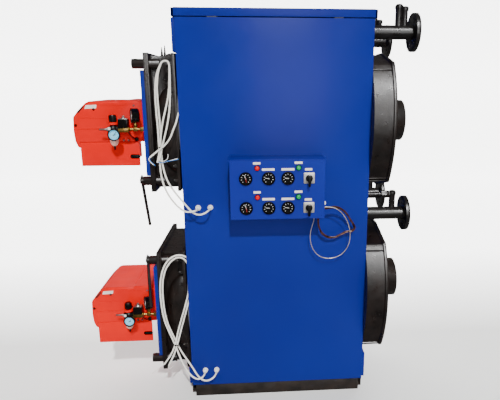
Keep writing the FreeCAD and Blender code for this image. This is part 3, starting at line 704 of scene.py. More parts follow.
def weld_tree():
    """A weld bead along each edge of the guide: a round bead that swells with every ripple."""
    tree, sizes = new_tree("weld beads", {"Radius": 0.0035, "Ripple": 0.006})
    line = add(tree, "GeometryNodeMeshToCurve", {"Mesh": sizes["Geometry"]})
    fine = add(tree, "GeometryNodeResampleCurve", {"Curve": line.outputs[0], "Length": 0.004},
               mode="LENGTH")
    along = add(tree, "GeometryNodeSplineParameter")
    phase = add(tree, "ShaderNodeMath", {0: along.outputs["Length"], 1: sizes["Ripple"]},
                operation="DIVIDE")
    angle = scaled(tree, phase.outputs[0], 2 * math.pi)
    wave = add(tree, "ShaderNodeMath", {0: angle}, operation="SINE")
    swell = add(tree, "ShaderNodeMath", {0: wave.outputs[0], 1: 0.16, 2: 1.0}, operation="MULTIPLY_ADD")
    section = add(tree, "GeometryNodeCurvePrimitiveCircle", {"Resolution": 8, "Radius": sizes["Radius"]},
                  mode="RADIUS")
    sized = add(tree, "GeometryNodeSetCurveRadius", {"Curve": fine.outputs[0],
                                                     "Radius": swell.outputs[0]})
    bead = add(tree, "GeometryNodeCurveToMesh", {"Curve": sized.outputs[0],
                                                 "Profile Curve": section.outputs[0],
                                                 "Fill Caps": True})
    return close_tree(tree, bead.outputs[0], sizes["Finish"])


def grow(name, tree, spots, sizes, finish, body, edges=()):
    """Runs a tree on points with facings, or on guide edges, and keeps the result as a plain mesh."""
    mesh = bpy.data.meshes.new(name)
    mesh.from_pydata([tuple(spot) for spot, facing in spots], edges, [])
    facings = mesh.attributes.new("facing", "FLOAT_VECTOR", "POINT")
    for value, (spot, facing) in zip(facings.data, spots):
        value.vector = facing
    made = bpy.data.objects.new(name, mesh)
    bpy.context.scene.collection.objects.link(made)
    grower = made.modifiers.new("grow", "NODES")
    wanted = dict(sizes)
    wanted["Finish"] = FINISH[finish]
    grower.node_group = tree
    for socket in tree.interface.items_tree:
        if socket.in_out == "INPUT" and socket.name in wanted:
            grower[socket.identifier] = wanted[socket.name]
    return settle(made, body)


# ------------------------------------------------------------ cables
UPPER_LEFT = [
    (-360, -280, 978), (-360, -306, 978), (-382, -324, 975), (-412, -318, 974),
    (-446, -300, 994), (-482, -282, 1034), (-506, -268, 1080), (-518, -258, 1128),
    (-521, -256, 1190), (-520, -256, 1256), (-520, -254, 1338), (-524, -251, 1421),
    (-524, -249, 1500), (-515, -249, 1562), (-503, -249, 1592), (-486, -249, 1623),
    (-457, -249, 1623), (-458, -250, 1578), (-463, -251, 1500), (-476, -254, 1440),
    (-492, -260, 1385), (-505, -264, 1325), (-514, -265, 1262), (-520, -266, 1222),
    (-529, -264, 1190)]
UPPER_RIGHT = [
    (-305, -280, 978), (-305, -310, 978), (-328, -326, 966), (-356, -318, 958),
    (-386, -306, 972), (-420, -294, 1012), (-458, -282, 1056), (-490, -270, 1104),
    (-505, -262, 1155), (-511, -258, 1205), (-511, -256, 1256), (-510, -250, 1338),
    (-513, -250, 1420), (-514, -258, 1500), (-508, -258, 1560), (-499, -258, 1592),
    (-485, -258, 1623), (-456, -258, 1623), (-455, -259, 1578), (-457, -260, 1500),
    (-462, -262, 1430), (-474, -266, 1362), (-491, -270, 1300), (-505, -266, 1256),
    (-511, -270, 1226), (-519, -273, 1200)]
FROM_CASING = [
    (-431, -234, 1402), (-432, -258, 1388), (-438, -274, 1360), (-452, -279, 1330),
    (-463, -281, 1300), (-486, -281, 1270), (-511, -277, 1250), (-536, -274, 1232),
    (-559, -272, 1213)]
LOWER_LEFT = [
    (-360, -280, 148), (-360, -308, 148), (-382, -324, 138), (-410, -318, 142),
    (-440, -304, 168), (-468, -288, 215), (-488, -273, 262), (-503, -262, 300),
    (-521, -262, 350), (-540, -263, 405), (-551, -264, 468), (-555, -264, 535),
    (-554, -264, 605), (-544, -262, 665), (-524, -257, 712), (-494, -252, 742),
    (-458, -249, 750), (-424, -247, 738), (-408, -246, 702), (-408, -246, 640),
    (-414, -246, 560), (-430, -250, 500), (-450, -254, 432), (-468, -258, 372),
    (-478, -267, 334), (-488, -276, 300), (-500, -284, 263), (-516, -285, 228),
    (-533, -283, 194)]
LOWER_RIGHT = [
    (-305, -280, 148), (-305, -310, 148), (-328, -326, 135), (-358, -316, 122),
    (-390, -304, 137), (-420, -294, 190), (-450, -282, 232), (-475, -272, 270),
    (-491, -264, 304), (-510, -262, 350), (-529, -264, 404), (-540, -265, 468),
    (-544, -265, 535), (-543, -264, 603), (-534, -263, 658), (-516, -260, 700),
    (-490, -254, 729), (-458, -249, 740), (-430, -247, 722), (-420, -246, 688),
    (-418, -246, 636), (-424, -247, 562), (-441, -252, 500), (-461, -257, 436),
    (-479, -263, 378), (-489, -269, 336), (-497, -273, 300), (-513, -274, 262),
    (-534, -274, 226), (-556, -273, 196)]
SENSOR_BUNDLE = [
    (204, -318, 980), (230, -318, 980), (264, -316, 986), (295, -312, 972), (320, -306, 946),
    (338, -298, 916), (354, -290, 893), (362, -287, 872), (347, -286, 858), (322, -286, 858),
    (296, -286, 844), (266, -287, 829), (234, -289, 832), (206, -293, 852), (191, -298, 884),
    (186, -302, 919), (186, -302, 951)]
CAPILLARY = [
    (204, -333, 990), (230, -333, 990), (261, -332, 984), (289, -326, 962), (311, -319, 932),
    (326, -313, 900), (335, -308, 868), (337, -304, 837), (334, -302, 806), (322, -300, 776),
    (302, -299, 752), (276, -298, 737), (248, -298, 731), (220, -298, 733), (194, -298, 744),
    (172, -299, 766), (157, -299, 796), (150, -300, 830), (152, -300, 866), (161, -301, 898),
    (168, -302, 925), (168, -302, 951)]


def metres(route):
    return [Vector(point) * MM for point in route]


def core(name, route, finish):
    """A stripped core that sticks out of a cable's end."""
    made = smooth_tube(name, metres(route), 0.0014, finish, sides=8)
    return settle(made, "root")


def cable(node, route):
    """A white control cable from its gland to its stripped end."""
    made = route_curve(node + "_lay", metres(route), 0.004, "cable")
    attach(made, "root")
    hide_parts(node)


def cable_tie(name, centre, radii, tilt):
    """A thin nylon tie pulled round the cables, with its locking head and cut tail."""
    bm = bmesh.new()
    steps = 36
    for band in (-0.0014, 0.0014):
        for grow_by in (0.0, 0.0011):
            for k in range(steps):
                angle = 2 * math.pi * k / steps
                x = (radii[0] + grow_by) * math.cos(angle)
                y = (radii[1] + grow_by) * math.sin(angle)
                bm.verts.new((x, y, band))
    bm.verts.ensure_lookup_table()
    rows = (0, 1, 3, 2)
    for one, other in zip(rows, rows[1:] + rows[:1]):
        for k in range(steps):
            nxt = (k + 1) % steps
            bm.faces.new([bm.verts[i] for i in (one * steps + k, one * steps + nxt,
                                                other * steps + nxt, other * steps + k)])
    slab(bm, (-0.003, -radii[1] - 0.0045, -0.0025), (0.003, -radii[1], 0.0025))
    slab(bm, (0.003, -radii[1] - 0.003, -0.0012), (0.019, -radii[1] - 0.002, 0.0012))
    bmesh.ops.transform(bm, verts=bm.verts, matrix=Matrix.Translation(centre)
                        @ Matrix.Rotation(math.radians(tilt), 4, "Y"))
    return settle(piece_from(name, bm, "black plastic"), "root")


def swept_strands(name, route, count, offset, radius, turns, finish):
    """Thin strands laid round a common line, like capillaries bundled together."""
    guide = route_curve("guide line", route, 0.0, finish)
    bpy.context.view_layer.update()
    source = guide.evaluated_get(bpy.context.evaluated_depsgraph_get())
    line = bpy.data.meshes.new_from_object(source)
    path = [vertex.co.copy() for vertex in line.vertices]
    bpy.data.objects.remove(guide)
    bm = bmesh.new()
    side = Vector((0, 1, 0))
    frames = []
    for k, spot in enumerate(path):
        ahead = (path[min(k + 1, len(path) - 1)] - path[max(k - 1, 0)]).normalized()
        side = (side - ahead * side.dot(ahead)).normalized()
        frames.append((spot, side, ahead.cross(side)))
    for strand in range(count):
        rings = []
        for k, (spot, across, up) in enumerate(frames):
            angle = 2 * math.pi * (strand / count + turns * k / len(frames))
            wobble = offset * (1.0 + 0.25 * math.sin(11.0 * k / len(frames) + 2.1 * strand))
            middle = spot + (across * math.cos(angle) + up * math.sin(angle)) * wobble
            ring = []
            for n in range(7):
                around = 2 * math.pi * n / 7
                ring.append(bm.verts.new(middle + (across * math.cos(around)
                                                   + up * math.sin(around)) * radius))
            rings.append(ring)
        for one, other in zip(rings, rings[1:]):
            for n in range(7):
                nxt = (n + 1) % 7
                bm.faces.new((one[n], one[nxt], other[nxt], other[n]))
        bm.faces.new(rings[0])
        bm.faces.new(rings[-1])
    return piece_from(name, bm, finish), path


def cables():
    white = core("upper_core_white", [(-529, -264, 1190), (-514, -268, 1184), (-494, -272, 1192),
                                      (-470, -272, 1199), (-440, -268, 1206)], "white plastic")
    blue = core("upper_core_blue", [(-528, -266, 1191), (-508, -272, 1187), (-486, -275, 1196),
                                    (-462, -273, 1198), (-436, -266, 1203)], "blue core")
    stub = core("upper_core_stub", [(-519, -273, 1200), (-502, -277, 1194), (-486, -278, 1202),
                                    (-478, -276, 1216), (-480, -274, 1228)], "white plastic")
    cable("white_cable_upper_left", UPPER_LEFT)
    cable("white_cable_upper_right", UPPER_RIGHT)
    hook = core("casing_core_blue", [(-559, -272, 1213), (-562, -274, 1206), (-556, -276, 1196),
                                     (-548, -276, 1186), (-538, -274, 1177)], "blue core")
    pale = core("casing_core_white", [(-559, -272, 1213), (-566, -276, 1207), (-560, -278, 1197),
                                      (-552, -278, 1187), (-543, -277, 1180)], "white plastic")
    cable("white_cable_from_casing", FROM_CASING)
    left = core("lower_core_white", [(-556, -273, 196), (-570, -274, 184), (-588, -275, 170),
                                     (-606, -275, 160), (-620, -274, 146)], "white plastic")
    right = core("lower_core_stub", [(-533, -283, 194), (-538, -284, 184), (-532, -284, 178),
                                     (-522, -283, 181), (-514, -281, 188)], "white plastic")
    cable("white_cable_lower_right", LOWER_RIGHT)
    cable("white_cable_lower_left", LOWER_LEFT)
    cable_tie("upper_cable_tie", Vector((-0.5125, -0.262, 1.256)), (0.0145, 0.0125), 20)
    cable_tie("lower_cable_tie", Vector((-0.4955, -0.2685, 0.300)), (0.0155, 0.0125), 10)

    bundle, path = swept_strands("sensor_bundle_lay", metres(SENSOR_BUNDLE), 6, 0.0036, 0.0016, 2.4,
                                 "capillary")
    settle(bundle, "root", ("sensor_bundle",))
    thin = route_curve("sensor_capillary_lay", metres(CAPILLARY), 0.002, "bare capillary")
    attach(thin, "root")
    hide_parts("sensor_capillary")


def glands():
    """White cable glands: a hexagon body, a domed nut with flutes, and a sealing lip."""
    bm = bmesh.new()
    profile = [(0.0, 0.0125), (0.003, 0.0125), (0.003, 0.0105), (0.011, 0.0105),
               (0.015, 0.0095), (0.0185, 0.0070), (0.0198, 0.0045)]
    for x, z in GLANDS:
        lathe(bm, Vector((x, PANEL_Y, z)), NEAR, profile, 18)
    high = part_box("control_box")[1]
    short = [(along * 0.7, radius) for along, radius in profile]
    lathe(bm, Vector((high.x, -0.318, 1.004)), RIGHT, short, 18)
    settle(piece_from("cable_glands_finished", bm, "white plastic"), "root",
           ("cable_glands",))


# ------------------------------------------------------------ casing and pressure parts
def plain_finishes():
    for node in ("frame_posts", "drum_saddles", "upper_drum", "lower_drum"):
        NODES[node].data.materials.clear()
        NODES[node].data.materials.append(FINISH["primer"])


def casing():
    for node in ("near_side_panel", "far_side_panel", "left_end_trays", "right_end_trays", "lid"):
        softened(node, "casing", 0.0009, 2)
    for node in ("plinth_side_rails", "plinth_crossbars"):
        softened(node, "plinth", 0.0012, 2)


def ring_of(centre, axis, radius, count=32):
    turn = axis.to_track_quat("Z", "Y")
    spots = []
    for k in range(count):
        angle = 2 * math.pi * k / count
        spot = centre + turn @ Vector((radius * math.cos(angle), radius * math.sin(angle), 0))
        spots.append((spot, axis))
    return spots


def closed_edges(first, count):
    return [(first + k, first + (k + 1) % count) for k in range(count)]


def rectangle_of(x, low_y, high_y, low_z, high_z):
    corners = ((low_y, low_z), (high_y, low_z), (high_y, high_z), (low_y, high_z))
    return [(Vector((x, y, z)), LEFT) for y, z in corners]


def welds(deck):
    """Fillet welds: header box to tube plate and rim, spigot to smoke box, and sockets to pipes."""
    axis = FRONT_AXIS[deck]
    spots = []
    edges = []
    for x in (TUBE_PLATE_X - 0.001, RIM_X + 0.010):
        edges += closed_edges(len(spots), 4)
        spots += rectangle_of(x, -HEADER_HALF_WIDTH - 0.001, HEADER_HALF_WIDTH + 0.001,
                              axis - HEADER_HALF_HEIGHT - 0.001, axis + HEADER_HALF_HEIGHT + 0.001)
    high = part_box(deck + "_smoke_box")[1]
    edges += closed_edges(len(spots), 32)
    spots += ring_of(Vector((high.x - SPIGOT_LENGTH, 0, REAR_AXIS[deck])), RIGHT, SPIGOT_RADIUS + 0.001)
    height = PIPE_HEIGHT[deck]
    for y in (-PIPE_Y, PIPE_Y):
        edges += closed_edges(len(spots), 24)
        spots += ring_of(Vector((FLANGE_BACK, y, height)), RIGHT, PIPE_RADIUS + 0.001, 24)
    grow(deck + "_welds", TREES["weld"], spots, {"Radius": 0.0036}, "boiler", "root", edges)


def boiler_bolts(deck):
    """Hexagon bolts round the tube plate's rim, at an even pitch."""
    axis = FRONT_AXIS[deck]
    spots = []
    for side in (-1, 1):
        for k in range(9):
            z = axis + (k - 4) * 0.064
            spots.append((Vector((TUBE_PLATE_X, side * 0.216, z)), LEFT))
    grow(deck + "_flange_bolts", TREES["bolt"], spots, {"Across flats": 0.019, "Height": 0.011,
                                                        "Thread": 0.006}, "lever", "root")


def smoke_tubes(deck):
    """Rows of rolled tube ends round the furnace mouth, seen when the door is open."""
    axis = FRONT_AXIS[deck]
    spots = []
    for row in range(-4, 5):
        for column in range(-3, 4):
            y = (column + 0.5 * (row % 2)) * 0.058
            z = row * 0.052
            distance = math.hypot(y, z)
            if 0.158 < distance < 0.205:
                spots.append((Vector((TUBE_PLATE_X - 0.001, y, axis + z)), LEFT))
    grow(deck + "_tube_ends", TREES["tube end"], spots, {"Radius": 0.022, "Wall": 0.003}, "boiler",
         "root")
    # Soot-black discs just inside each tube end: painted shade for the depth of the bores, as well as their
    # real soot.
    bm = bmesh.new()
    for spot, facing in spots:
        lathe(bm, spot + LEFT * 0.0003, LEFT, [(0.0, 0.0215), (0.0006, 0.0215)], 20)
    settle(piece_from(deck + "_tube_bore_shade", bm, "soot_and_hole_shade"), "root")


def pressure_parts(deck):
    softened(deck + "_front_header", "boiler", 0.0015)
    softened(deck + "_smoke_box", "boiler", 0.0018)
    softened(deck + "_pipes", "pipe", 0.0012)
    welds(deck)
    boiler_bolts(deck)
    smoke_tubes(deck)
    smoke_seams(deck)
    header_shells(deck)
    flange_faces(deck)
    sensor_sockets(deck)


def smoke_side(height):
    """How far the smoke box's bowed side stands from the middle plane at a height."""
    chord = SMOKE_SIDE_HALF_HEIGHT
    radius = (chord ** 2 + SMOKE_BOW ** 2) / (2 * SMOKE_BOW)
    return SMOKE_HALF_WIDTH - radius + math.sqrt(radius ** 2 - height ** 2)


def smoke_seams(deck):
    """Standing seams along the smoke box's bowed sides, near the roof and near the bottom."""
    bm = bmesh.new()
    for side in (-1, 1):
        for height in (0.236, -0.252):
            face = smoke_side(height)
            inner, outer = side * (face - 0.004), side * (face + 0.005)
            z = REAR_AXIS[deck] + height
            slab(bm, (CASING_X + 0.001, min(inner, outer), z - 0.003),
                 (SMOKE_END_X, max(inner, outer), z + 0.003))
            slab(bm, (CASING_X + 0.001, min(inner, outer), z - 0.013),
                 (SMOKE_END_X, max(inner, outer), z - 0.009))
    settle(rounded_edges(piece_from(deck + "_smoke_seams", bm, "boiler"), 0.001), "root")


def header_shells(deck):
    """Pressed bulge on each side of the front header, between its rims."""
    axis = FRONT_AXIS[deck] - 0.024
    bm = bmesh.new()
    for side in (-1, 1):
        made = bmesh.ops.create_uvsphere(bm, u_segments=56, v_segments=40, radius=1.0)["verts"]
        place = Matrix.Translation((TUBE_PLATE_X, side * (HEADER_HALF_WIDTH - 0.004), axis))
        shape = Matrix.Diagonal((0.098, 0.052, 0.198, 1.0))
        bmesh.ops.transform(bm, verts=made, matrix=place @ shape)
    behind = [v for v in bm.verts if v.co.x > TUBE_PLATE_X + 0.001 or abs(v.co.y) < HEADER_HALF_WIDTH - 0.008]
    bmesh.ops.delete(bm, geom=behind, context="VERTS")
    settle(piece_from(deck + "_header_shells", bm, "boiler"), "root")


def edge_nuts():
    """Large nuts on the near edge of the upper tube plate's rim."""
    spots = [(Vector((-0.462 + 0.006 * (k % 2), -HEADER_HALF_WIDTH - 0.002, 1.640 - 0.027 * k)), NEAR)
             for k in range(7)]
    grow("upper_edge_nuts", TREES["bolt"], spots, {"Across flats": 0.024, "Height": 0.034,
                                                   "Thread": 0.008}, "lever", "root")


def flange_faces(deck):
    """Raised gasket faces of the pipe flanges, with turned grooves."""
    bm = bmesh.new()
    profile = [(-0.001, PIPE_BORE), (0.002, PIPE_BORE)]
    for k in range(9):
        radius = 0.032 + 0.0019 * k
        profile += [(0.002, radius), (0.0014, radius + 0.0005), (0.002, radius + 0.0010)]
    profile += [(0.002, 0.051), (-0.001, 0.051), (-0.001, PIPE_BORE)]
    for y in (-PIPE_Y, PIPE_Y):
        lathe(bm, Vector((FLANGE_FACE, y, PIPE_HEIGHT[deck])), RIGHT, profile, 48)
    settle(piece_from(deck + "_flange_faces", bm, "pipe"), "root")


def sensor_sockets(deck):
    """Hexagon plugs in the tops of the pipe sockets."""
    spots = []
    for y in (-PIPE_Y, PIPE_Y):
        for x, rise in SOCKETS[deck]:
            spots.append((Vector((x, y, PIPE_HEIGHT[deck] + rise - 0.002)), UP))
    grow(deck + "_socket_plugs", TREES["bolt"], spots, {"Across flats": 0.022, "Height": 0.004,
                                                        "Thread": 0.0}, "pipe", "root")


def link_union():
    """Hexagon union nut and lock rings on the small link pipe."""
    bm = bmesh.new()
    start = Vector((0.494, -PIPE_Y, PIPE_HEIGHT["lower"] + 0.092))
    lathe(bm, start, RIGHT, [(0.0, 0.0160), (0.003, 0.0190), (0.026, 0.0190), (0.029, 0.0160),
                             (0.040, 0.0160)], 6)
    settle(piece_from("lower_link_union", bm, "pipe"), "root")


# ------------------------------------------------------------ doors
def door_rope(deck):
    """Glass rope pressed in a groove round the lining, which seals the door on the header."""
    low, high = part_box(deck + "_door_lining")
    out = 0.010
    spots = rectangle_of(RIM_X + 0.001, low.y - out, high.y + out, low.z - out, high.z + out)
    grow(deck + "_door_rope", TREES["weld"], spots, {"Radius": 0.0055, "Ripple": 0.009}, "rope",
         deck + "_door", closed_edges(0, 4))


def door(deck):
    softened(deck + "_door_plate", "boiler", 0.0015)
    softened(deck + "_door_cover", "casing", 0.0022, 3)
    softened(deck + "_door_lining", "refractory", 0.004)
    door_rope(deck)
    low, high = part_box(deck + "_door_cover")
    spots = []
    for z in (low.z + 0.02, (low.z + high.z) / 2, high.z - 0.02):
        for y in (low.y + 0.018, high.y - 0.018):
            spots.append((Vector((low.x, y, z)), LEFT))
    grow(deck + "_cover_screws", TREES["screw"], spots, {"Radius": 0.0055, "Height": 0.0032}, "zinc",
         deck + "_door")
    low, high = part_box(deck + "_burner_flange")
    studs = []
    for y in (-0.140, 0.140):
        for z in (high.z - 0.018, low.z + 0.018):
            studs.append((Vector((low.x, y, z)), LEFT))
    grow(deck + "_flange_studs", TREES["bolt"], studs, {"Across flats": 0.017, "Height": 0.009,
                                                        "Thread": 0.005}, "zinc", deck + "_door")


def latches():
    """Clamp levers, the pointed stop on each hub's top, and dark discs on the free boss ends, painted shade
    for their sockets.
    """
    for deck, side in (("upper", -1), ("lower", 1)):
        softened(deck + "_latch_lever", "lever", 0.0008)
        z = FRONT_AXIS[deck] + side * LATCH_RISE
        turned(deck + "_lever_stop", Vector((-0.612, LATCH_Y, z + 0.012)), UP, [(0.0, 0.008),
               (0.004, 0.0085), (0.016, 0.0015), (0.017, 0.0)], 16, "lever", deck + "_lever")
        free = FRONT_AXIS[deck] - side * LATCH_RISE
        # Flat dark discs on the boss's end and top: painted shade where the sockets go in.
        bm = bmesh.new()
        lathe(bm, Vector((-0.6203, LATCH_Y, free)), LEFT, [(0.0, 0.011), (0.0005, 0.0115)], 24)
        lathe(bm, Vector((-0.604, LATCH_Y, free + 0.0205)), UP, [(0.0, 0.0065),
                                                               (0.001, 0.0065)], 16)
        settle(piece_from(deck + "_boss_socket_shade", bm, "soot_and_hole_shade"), deck + "_door")


def header_ears():
    """Two pointed ears on the upper header's roof, for a lifting bar."""
    bm = bmesh.new()
    for x, top in ((-0.497, 1.684), (-0.484, 1.691)):
        outline = [Vector((x - 0.006, -0.186, 1.646)), Vector((x + 0.005, -0.186, 1.646)),
                   Vector((x + 0.001, -0.186, top)), Vector((x - 0.001, -0.186, top))]
        shaped_plate(bm, outline, Vector((0, 0.012, 0)))
    settle(rounded_edges(piece_from("header_ears", bm, "boiler"), 0.001), "root")


# ------------------------------------------------------------ burners
def burner(deck):
    body = deck + "_door"
    axis = FRONT_AXIS[deck]
    softened(deck + "_burner_flange", "enamel", 0.0015)
    softened(deck + "_burner_hood", "enamel", 0.0015)
    burner_base(deck, axis)
    side = HOOD_Y
    screws = [(Vector((-0.818, side, axis + 0.062)), NEAR), (Vector((-0.903, side, axis - 0.010)), NEAR)]
    screws += [(Vector((spot.x, -spot.y, spot.z)), FAR) for spot, facing in screws]
    grow(deck + "_hood_screws", TREES["screw"], screws, {"Radius": 0.0062, "Height": 0.003},
         "black plastic", body)
    pale = [(Vector((x, side, axis - 0.078)), NEAR) for x in (-0.695, -0.674)]
    pale += [(Vector((-0.640, side, axis + 0.078)), NEAR)]
    grow(deck + "_seam_screws", TREES["screw"], pale, {"Radius": 0.0055, "Height": 0.003}, "zinc", body)
    hood_swages(deck, axis)
    rocker_switch(deck, axis)
    fuse_label(deck, axis)
    solenoid_lead(deck, axis)


def burner_base(deck, axis):
    """Folded tray under the hood, which narrows towards its far side, and a thin dark strip and patch in the
    hood's shoulder: painted shade for a dark line there, drawn as a vent slot."""
    bm = bmesh.new()
    near, far = HOOD_Y + 0.0005, -HOOD_Y - 0.0005
    plan = [(-0.892, near), (-0.626, near), (-0.690, -0.04), (-0.690, far), (-0.892, far)]
    shaped_plate(bm, [Vector((x, y, axis - 0.196)) for x, y in plan], UP * 0.110)
    made = rounded_edges(piece_from(deck + "_burner_tray", bm, "enamel"), 0.003, 3)
    settle(made, deck + "_door", (deck + "_burner_base",))
    # A thin dark strip across the hood and a dark patch on its side: painted shade, not a cut slot.
    bm = bmesh.new()
    slab(bm, (-0.8905, HOOD_Y - 0.0006, axis + 0.052), (-0.8895, -HOOD_Y, axis + 0.054))
    outline = ((-0.893, 0.0465), (-0.884, 0.0465), (-0.860, 0.0735), (-0.866, 0.0765))
    shaped_plate(bm, [Vector((x, HOOD_Y - 0.0008, axis + z)) for x, z in outline], FAR * 0.002)
    settle(piece_from(deck + "_hood_line_shade", bm, "soot_and_hole_shade"), deck + "_door")


def hood_swages(deck, axis):
    """Pressed ridges along the hood's sides, which stiffen the sheet."""
    bm = bmesh.new()
    for y in (HOOD_Y, -HOOD_Y):
        out = math.copysign(0.0016, y)
        for low_x, high_x, z in ((-0.878, -0.762, 0.024), (-0.900, -0.640, -0.026),
                                 (-0.790, -0.668, 0.082)):
            slab(bm, (low_x, min(y, y + out), axis + z - 0.0022), (high_x, max(y, y + out),
                                                                   axis + z + 0.0022))
    settle(rounded_edges(piece_from(deck + "_hood_swages", bm, "enamel"), 0.0015, 3), deck + "_door")


def rocker_switch(deck, axis):
    """Oval mains switch in the burner's base: a bezel with a rocker."""
    centre = Vector((-0.649, HOOD_Y + 0.004, axis - 0.153))
    bm = bmesh.new()
    shaped_plate(bm, rounded_rectangle(centre, RIGHT, UP, 0.045, 0.020, 0.0098, 6), NEAR * 0.004)
    settle(rounded_edges(piece_from(deck + "_switch_bezel", bm, "gloss black"), 0.0012), deck + "_door")
    bm = bmesh.new()
    shaped_plate(bm, rounded_rectangle(centre + NEAR * 0.004, RIGHT, UP, 0.026, 0.012, 0.003),
                 NEAR * 0.003)
    settle(rounded_edges(piece_from(deck + "_switch_rocker", bm, "black plastic"), 0.001),
           deck + "_door")


def fuse_label(deck, axis):
    """A blank white plate near the hood's shoulder."""
    bm = bmesh.new()
    outline = ((-0.851, 0.080), (-0.803, 0.082), (-0.806, 0.066), (-0.857, 0.064))
    shaped_plate(bm, [Vector((x, HOOD_Y, axis + z)) for x, z in outline], NEAR * 0.0008)
    settle(piece_from(deck + "_blank_plate", bm, "label"), deck + "_door")


def solenoid_lead(deck, axis):
    """The coil's short black lead, fixed at the coil and at a grommet in the hood."""
    route = [Vector(p) * MM for p in ((-661, -208, -36), (-656, -204, -46), (-648, -192, -60),
                                      (-641, -176, -70), (-637, -158, -74))]
    shifted = [point + Vector((0, 0, axis)) for point in route]
    settle(smooth_tube(deck + "_coil_lead", shifted, 0.0027, "black plastic", 12), deck + "_door")
    turned(deck + "_lead_grommet", Vector((-0.637, HOOD_Y, axis - 0.074)), NEAR, [(0.0, 0.009),
           (0.004, 0.009), (0.007, 0.006), (0.008, 0.0)], 20, "black plastic", deck + "_door")


def dial(name, centre, facing, radius, card, marks, pointers, body, glass=True):
    """A round instrument face: card, marks, pointers on a boss, and a flat glass if it has one."""
    turned(name + "_card", centre, facing, [(0.0, radius), (0.0006, radius), (0.0006, 0.0)], 40, card,
           body)
    grow(name + "_marks", TREES["marks"], [(centre + facing * 0.001, facing)], marks[0], marks[1], body)
    turn = facing.to_track_quat("Z", "Y")
    for n, (angle, length, finish) in enumerate(pointers):
        bm = bmesh.new()
        along = Vector((math.cos(angle), math.sin(angle), 0))
        across = Vector((-along.y, along.x, 0))
        outline = [-along * length * 0.25 - across * 0.0011, along * length - across * 0.0005,
                   along * length + across * 0.0005, -along * length * 0.25 + across * 0.0011]
        lift = Vector((0, 0, 0.0016 + 0.0006 * n))
        shaped_plate(bm, [centre + turn @ (p + lift) for p in outline], facing * 0.0005)
        settle(piece_from(name + "_pointer_" + str(n), bm, finish), body)
    turned(name + "_boss", centre, facing, [(0.0005, 0.0026), (0.0034, 0.0022), (0.0036, 0.0)], 16,
           "zinc", body)
    if glass:
        turned(name + "_glass", centre + facing * 0.0042, facing, [(0.0, radius), (0.0008, radius),
               (0.0008, 0.0)], 40, "glass", body)


def regulator(deck):
    """Filter-regulator: ribbed knob, bonnet, body with a small dial, and a clear bowl with a drain."""
    body = deck + "_door"
    z = FRONT_AXIS[deck] - FITTING_DROP
    centre = Vector((REGULATOR_X, FITTING_Y, z))
    bm = bmesh.new()
    lathe(bm, centre, UP, [(-0.020, 0.0205), (-0.016, 0.0212), (0.006, 0.0212),
                           (0.012, 0.019), (0.018, 0.0135), (0.024, 0.0125), (0.024, 0.0205),
                           (0.0275, 0.0218), (0.030, 0.0205)], 32)
    slab(bm, centre + Vector((-0.022, -0.013, -0.012)), centre + Vector((0.022, 0.013, 0.012)))
    slab(bm, centre + Vector((-0.011, 0.016, -0.009)), centre + Vector((0.011, HOOD_GAP, 0.009)))
    settle(rounded_edges(piece_from(deck + "_regulator_body", bm, "black plastic"), 0.0012), body,
           (deck + "_air_regulator",))
    turned(deck + "_regulator_knob", centre, UP, [(0.031, 0.0150), (0.036, 0.0158), (0.060, 0.0152),
           (0.0635, 0.0130), (0.064, 0.0)], 32, "black plastic", body)
    grow(deck + "_knob_ribs", TREES["ribs"], [(centre + UP * 0.047, UP)],
         {"Radius": 0.0156, "Count": 26, "Thickness": 0.0011, "Height": 0.023}, "black plastic", body)
    turned(deck + "_filter_bowl", centre, UP, [(-0.0205, 0.0195), (-0.056, 0.0190), (-0.066, 0.0150),
           (-0.074, 0.0070), (-0.075, 0.0)], 28, "bowl", body)
    turned(deck + "_filter_element", centre, UP, [(-0.021, 0.0085), (-0.046, 0.0080), (-0.048, 0.0)], 20,
           "red pointer", body)
    turned(deck + "_bowl_drain", centre, UP, [(-0.072, 0.0060), (-0.077, 0.0060), (-0.079, 0.0040),
           (-0.090, 0.0034)], 16, "black plastic", body)
    turned(deck + "_lock_ring", centre, UP, [(0.0215, 0.0222), (0.0320, 0.0222)], 32, "enamel", body)
    bm = bmesh.new()
    slab(bm, centre + Vector((-0.0180, -0.0222, -0.001)), centre + Vector((-0.0070, -0.0205, 0.011)))
    settle(piece_from(deck + "_regulator_plate", bm, "label"), body)
    face = Vector((REGULATOR_X + 0.007, FITTING_Y, z - 0.022))
    turned(deck + "_small_dial_case", face, NEAR, [(0.016, 0.0255), (0.020, 0.0270), (0.030, 0.0270),
           (0.032, 0.0258), (0.032, 0.0222), (0.027, 0.0218)], 40, "gloss black", body)
    marks = ({"Radius": 0.0175, "Count": 11, "Length": 0.0038, "Width": 0.0009, "Start": -0.79,
              "Sweep": 4.71}, "dial black")
    dial(deck + "_small_dial", face + NEAR * 0.0272, NEAR, 0.0216, "dial pale", marks,
         ((0.85, 0.017, "gloss black"), (0.15, 0.010, "gloss black")), body, glass=False)


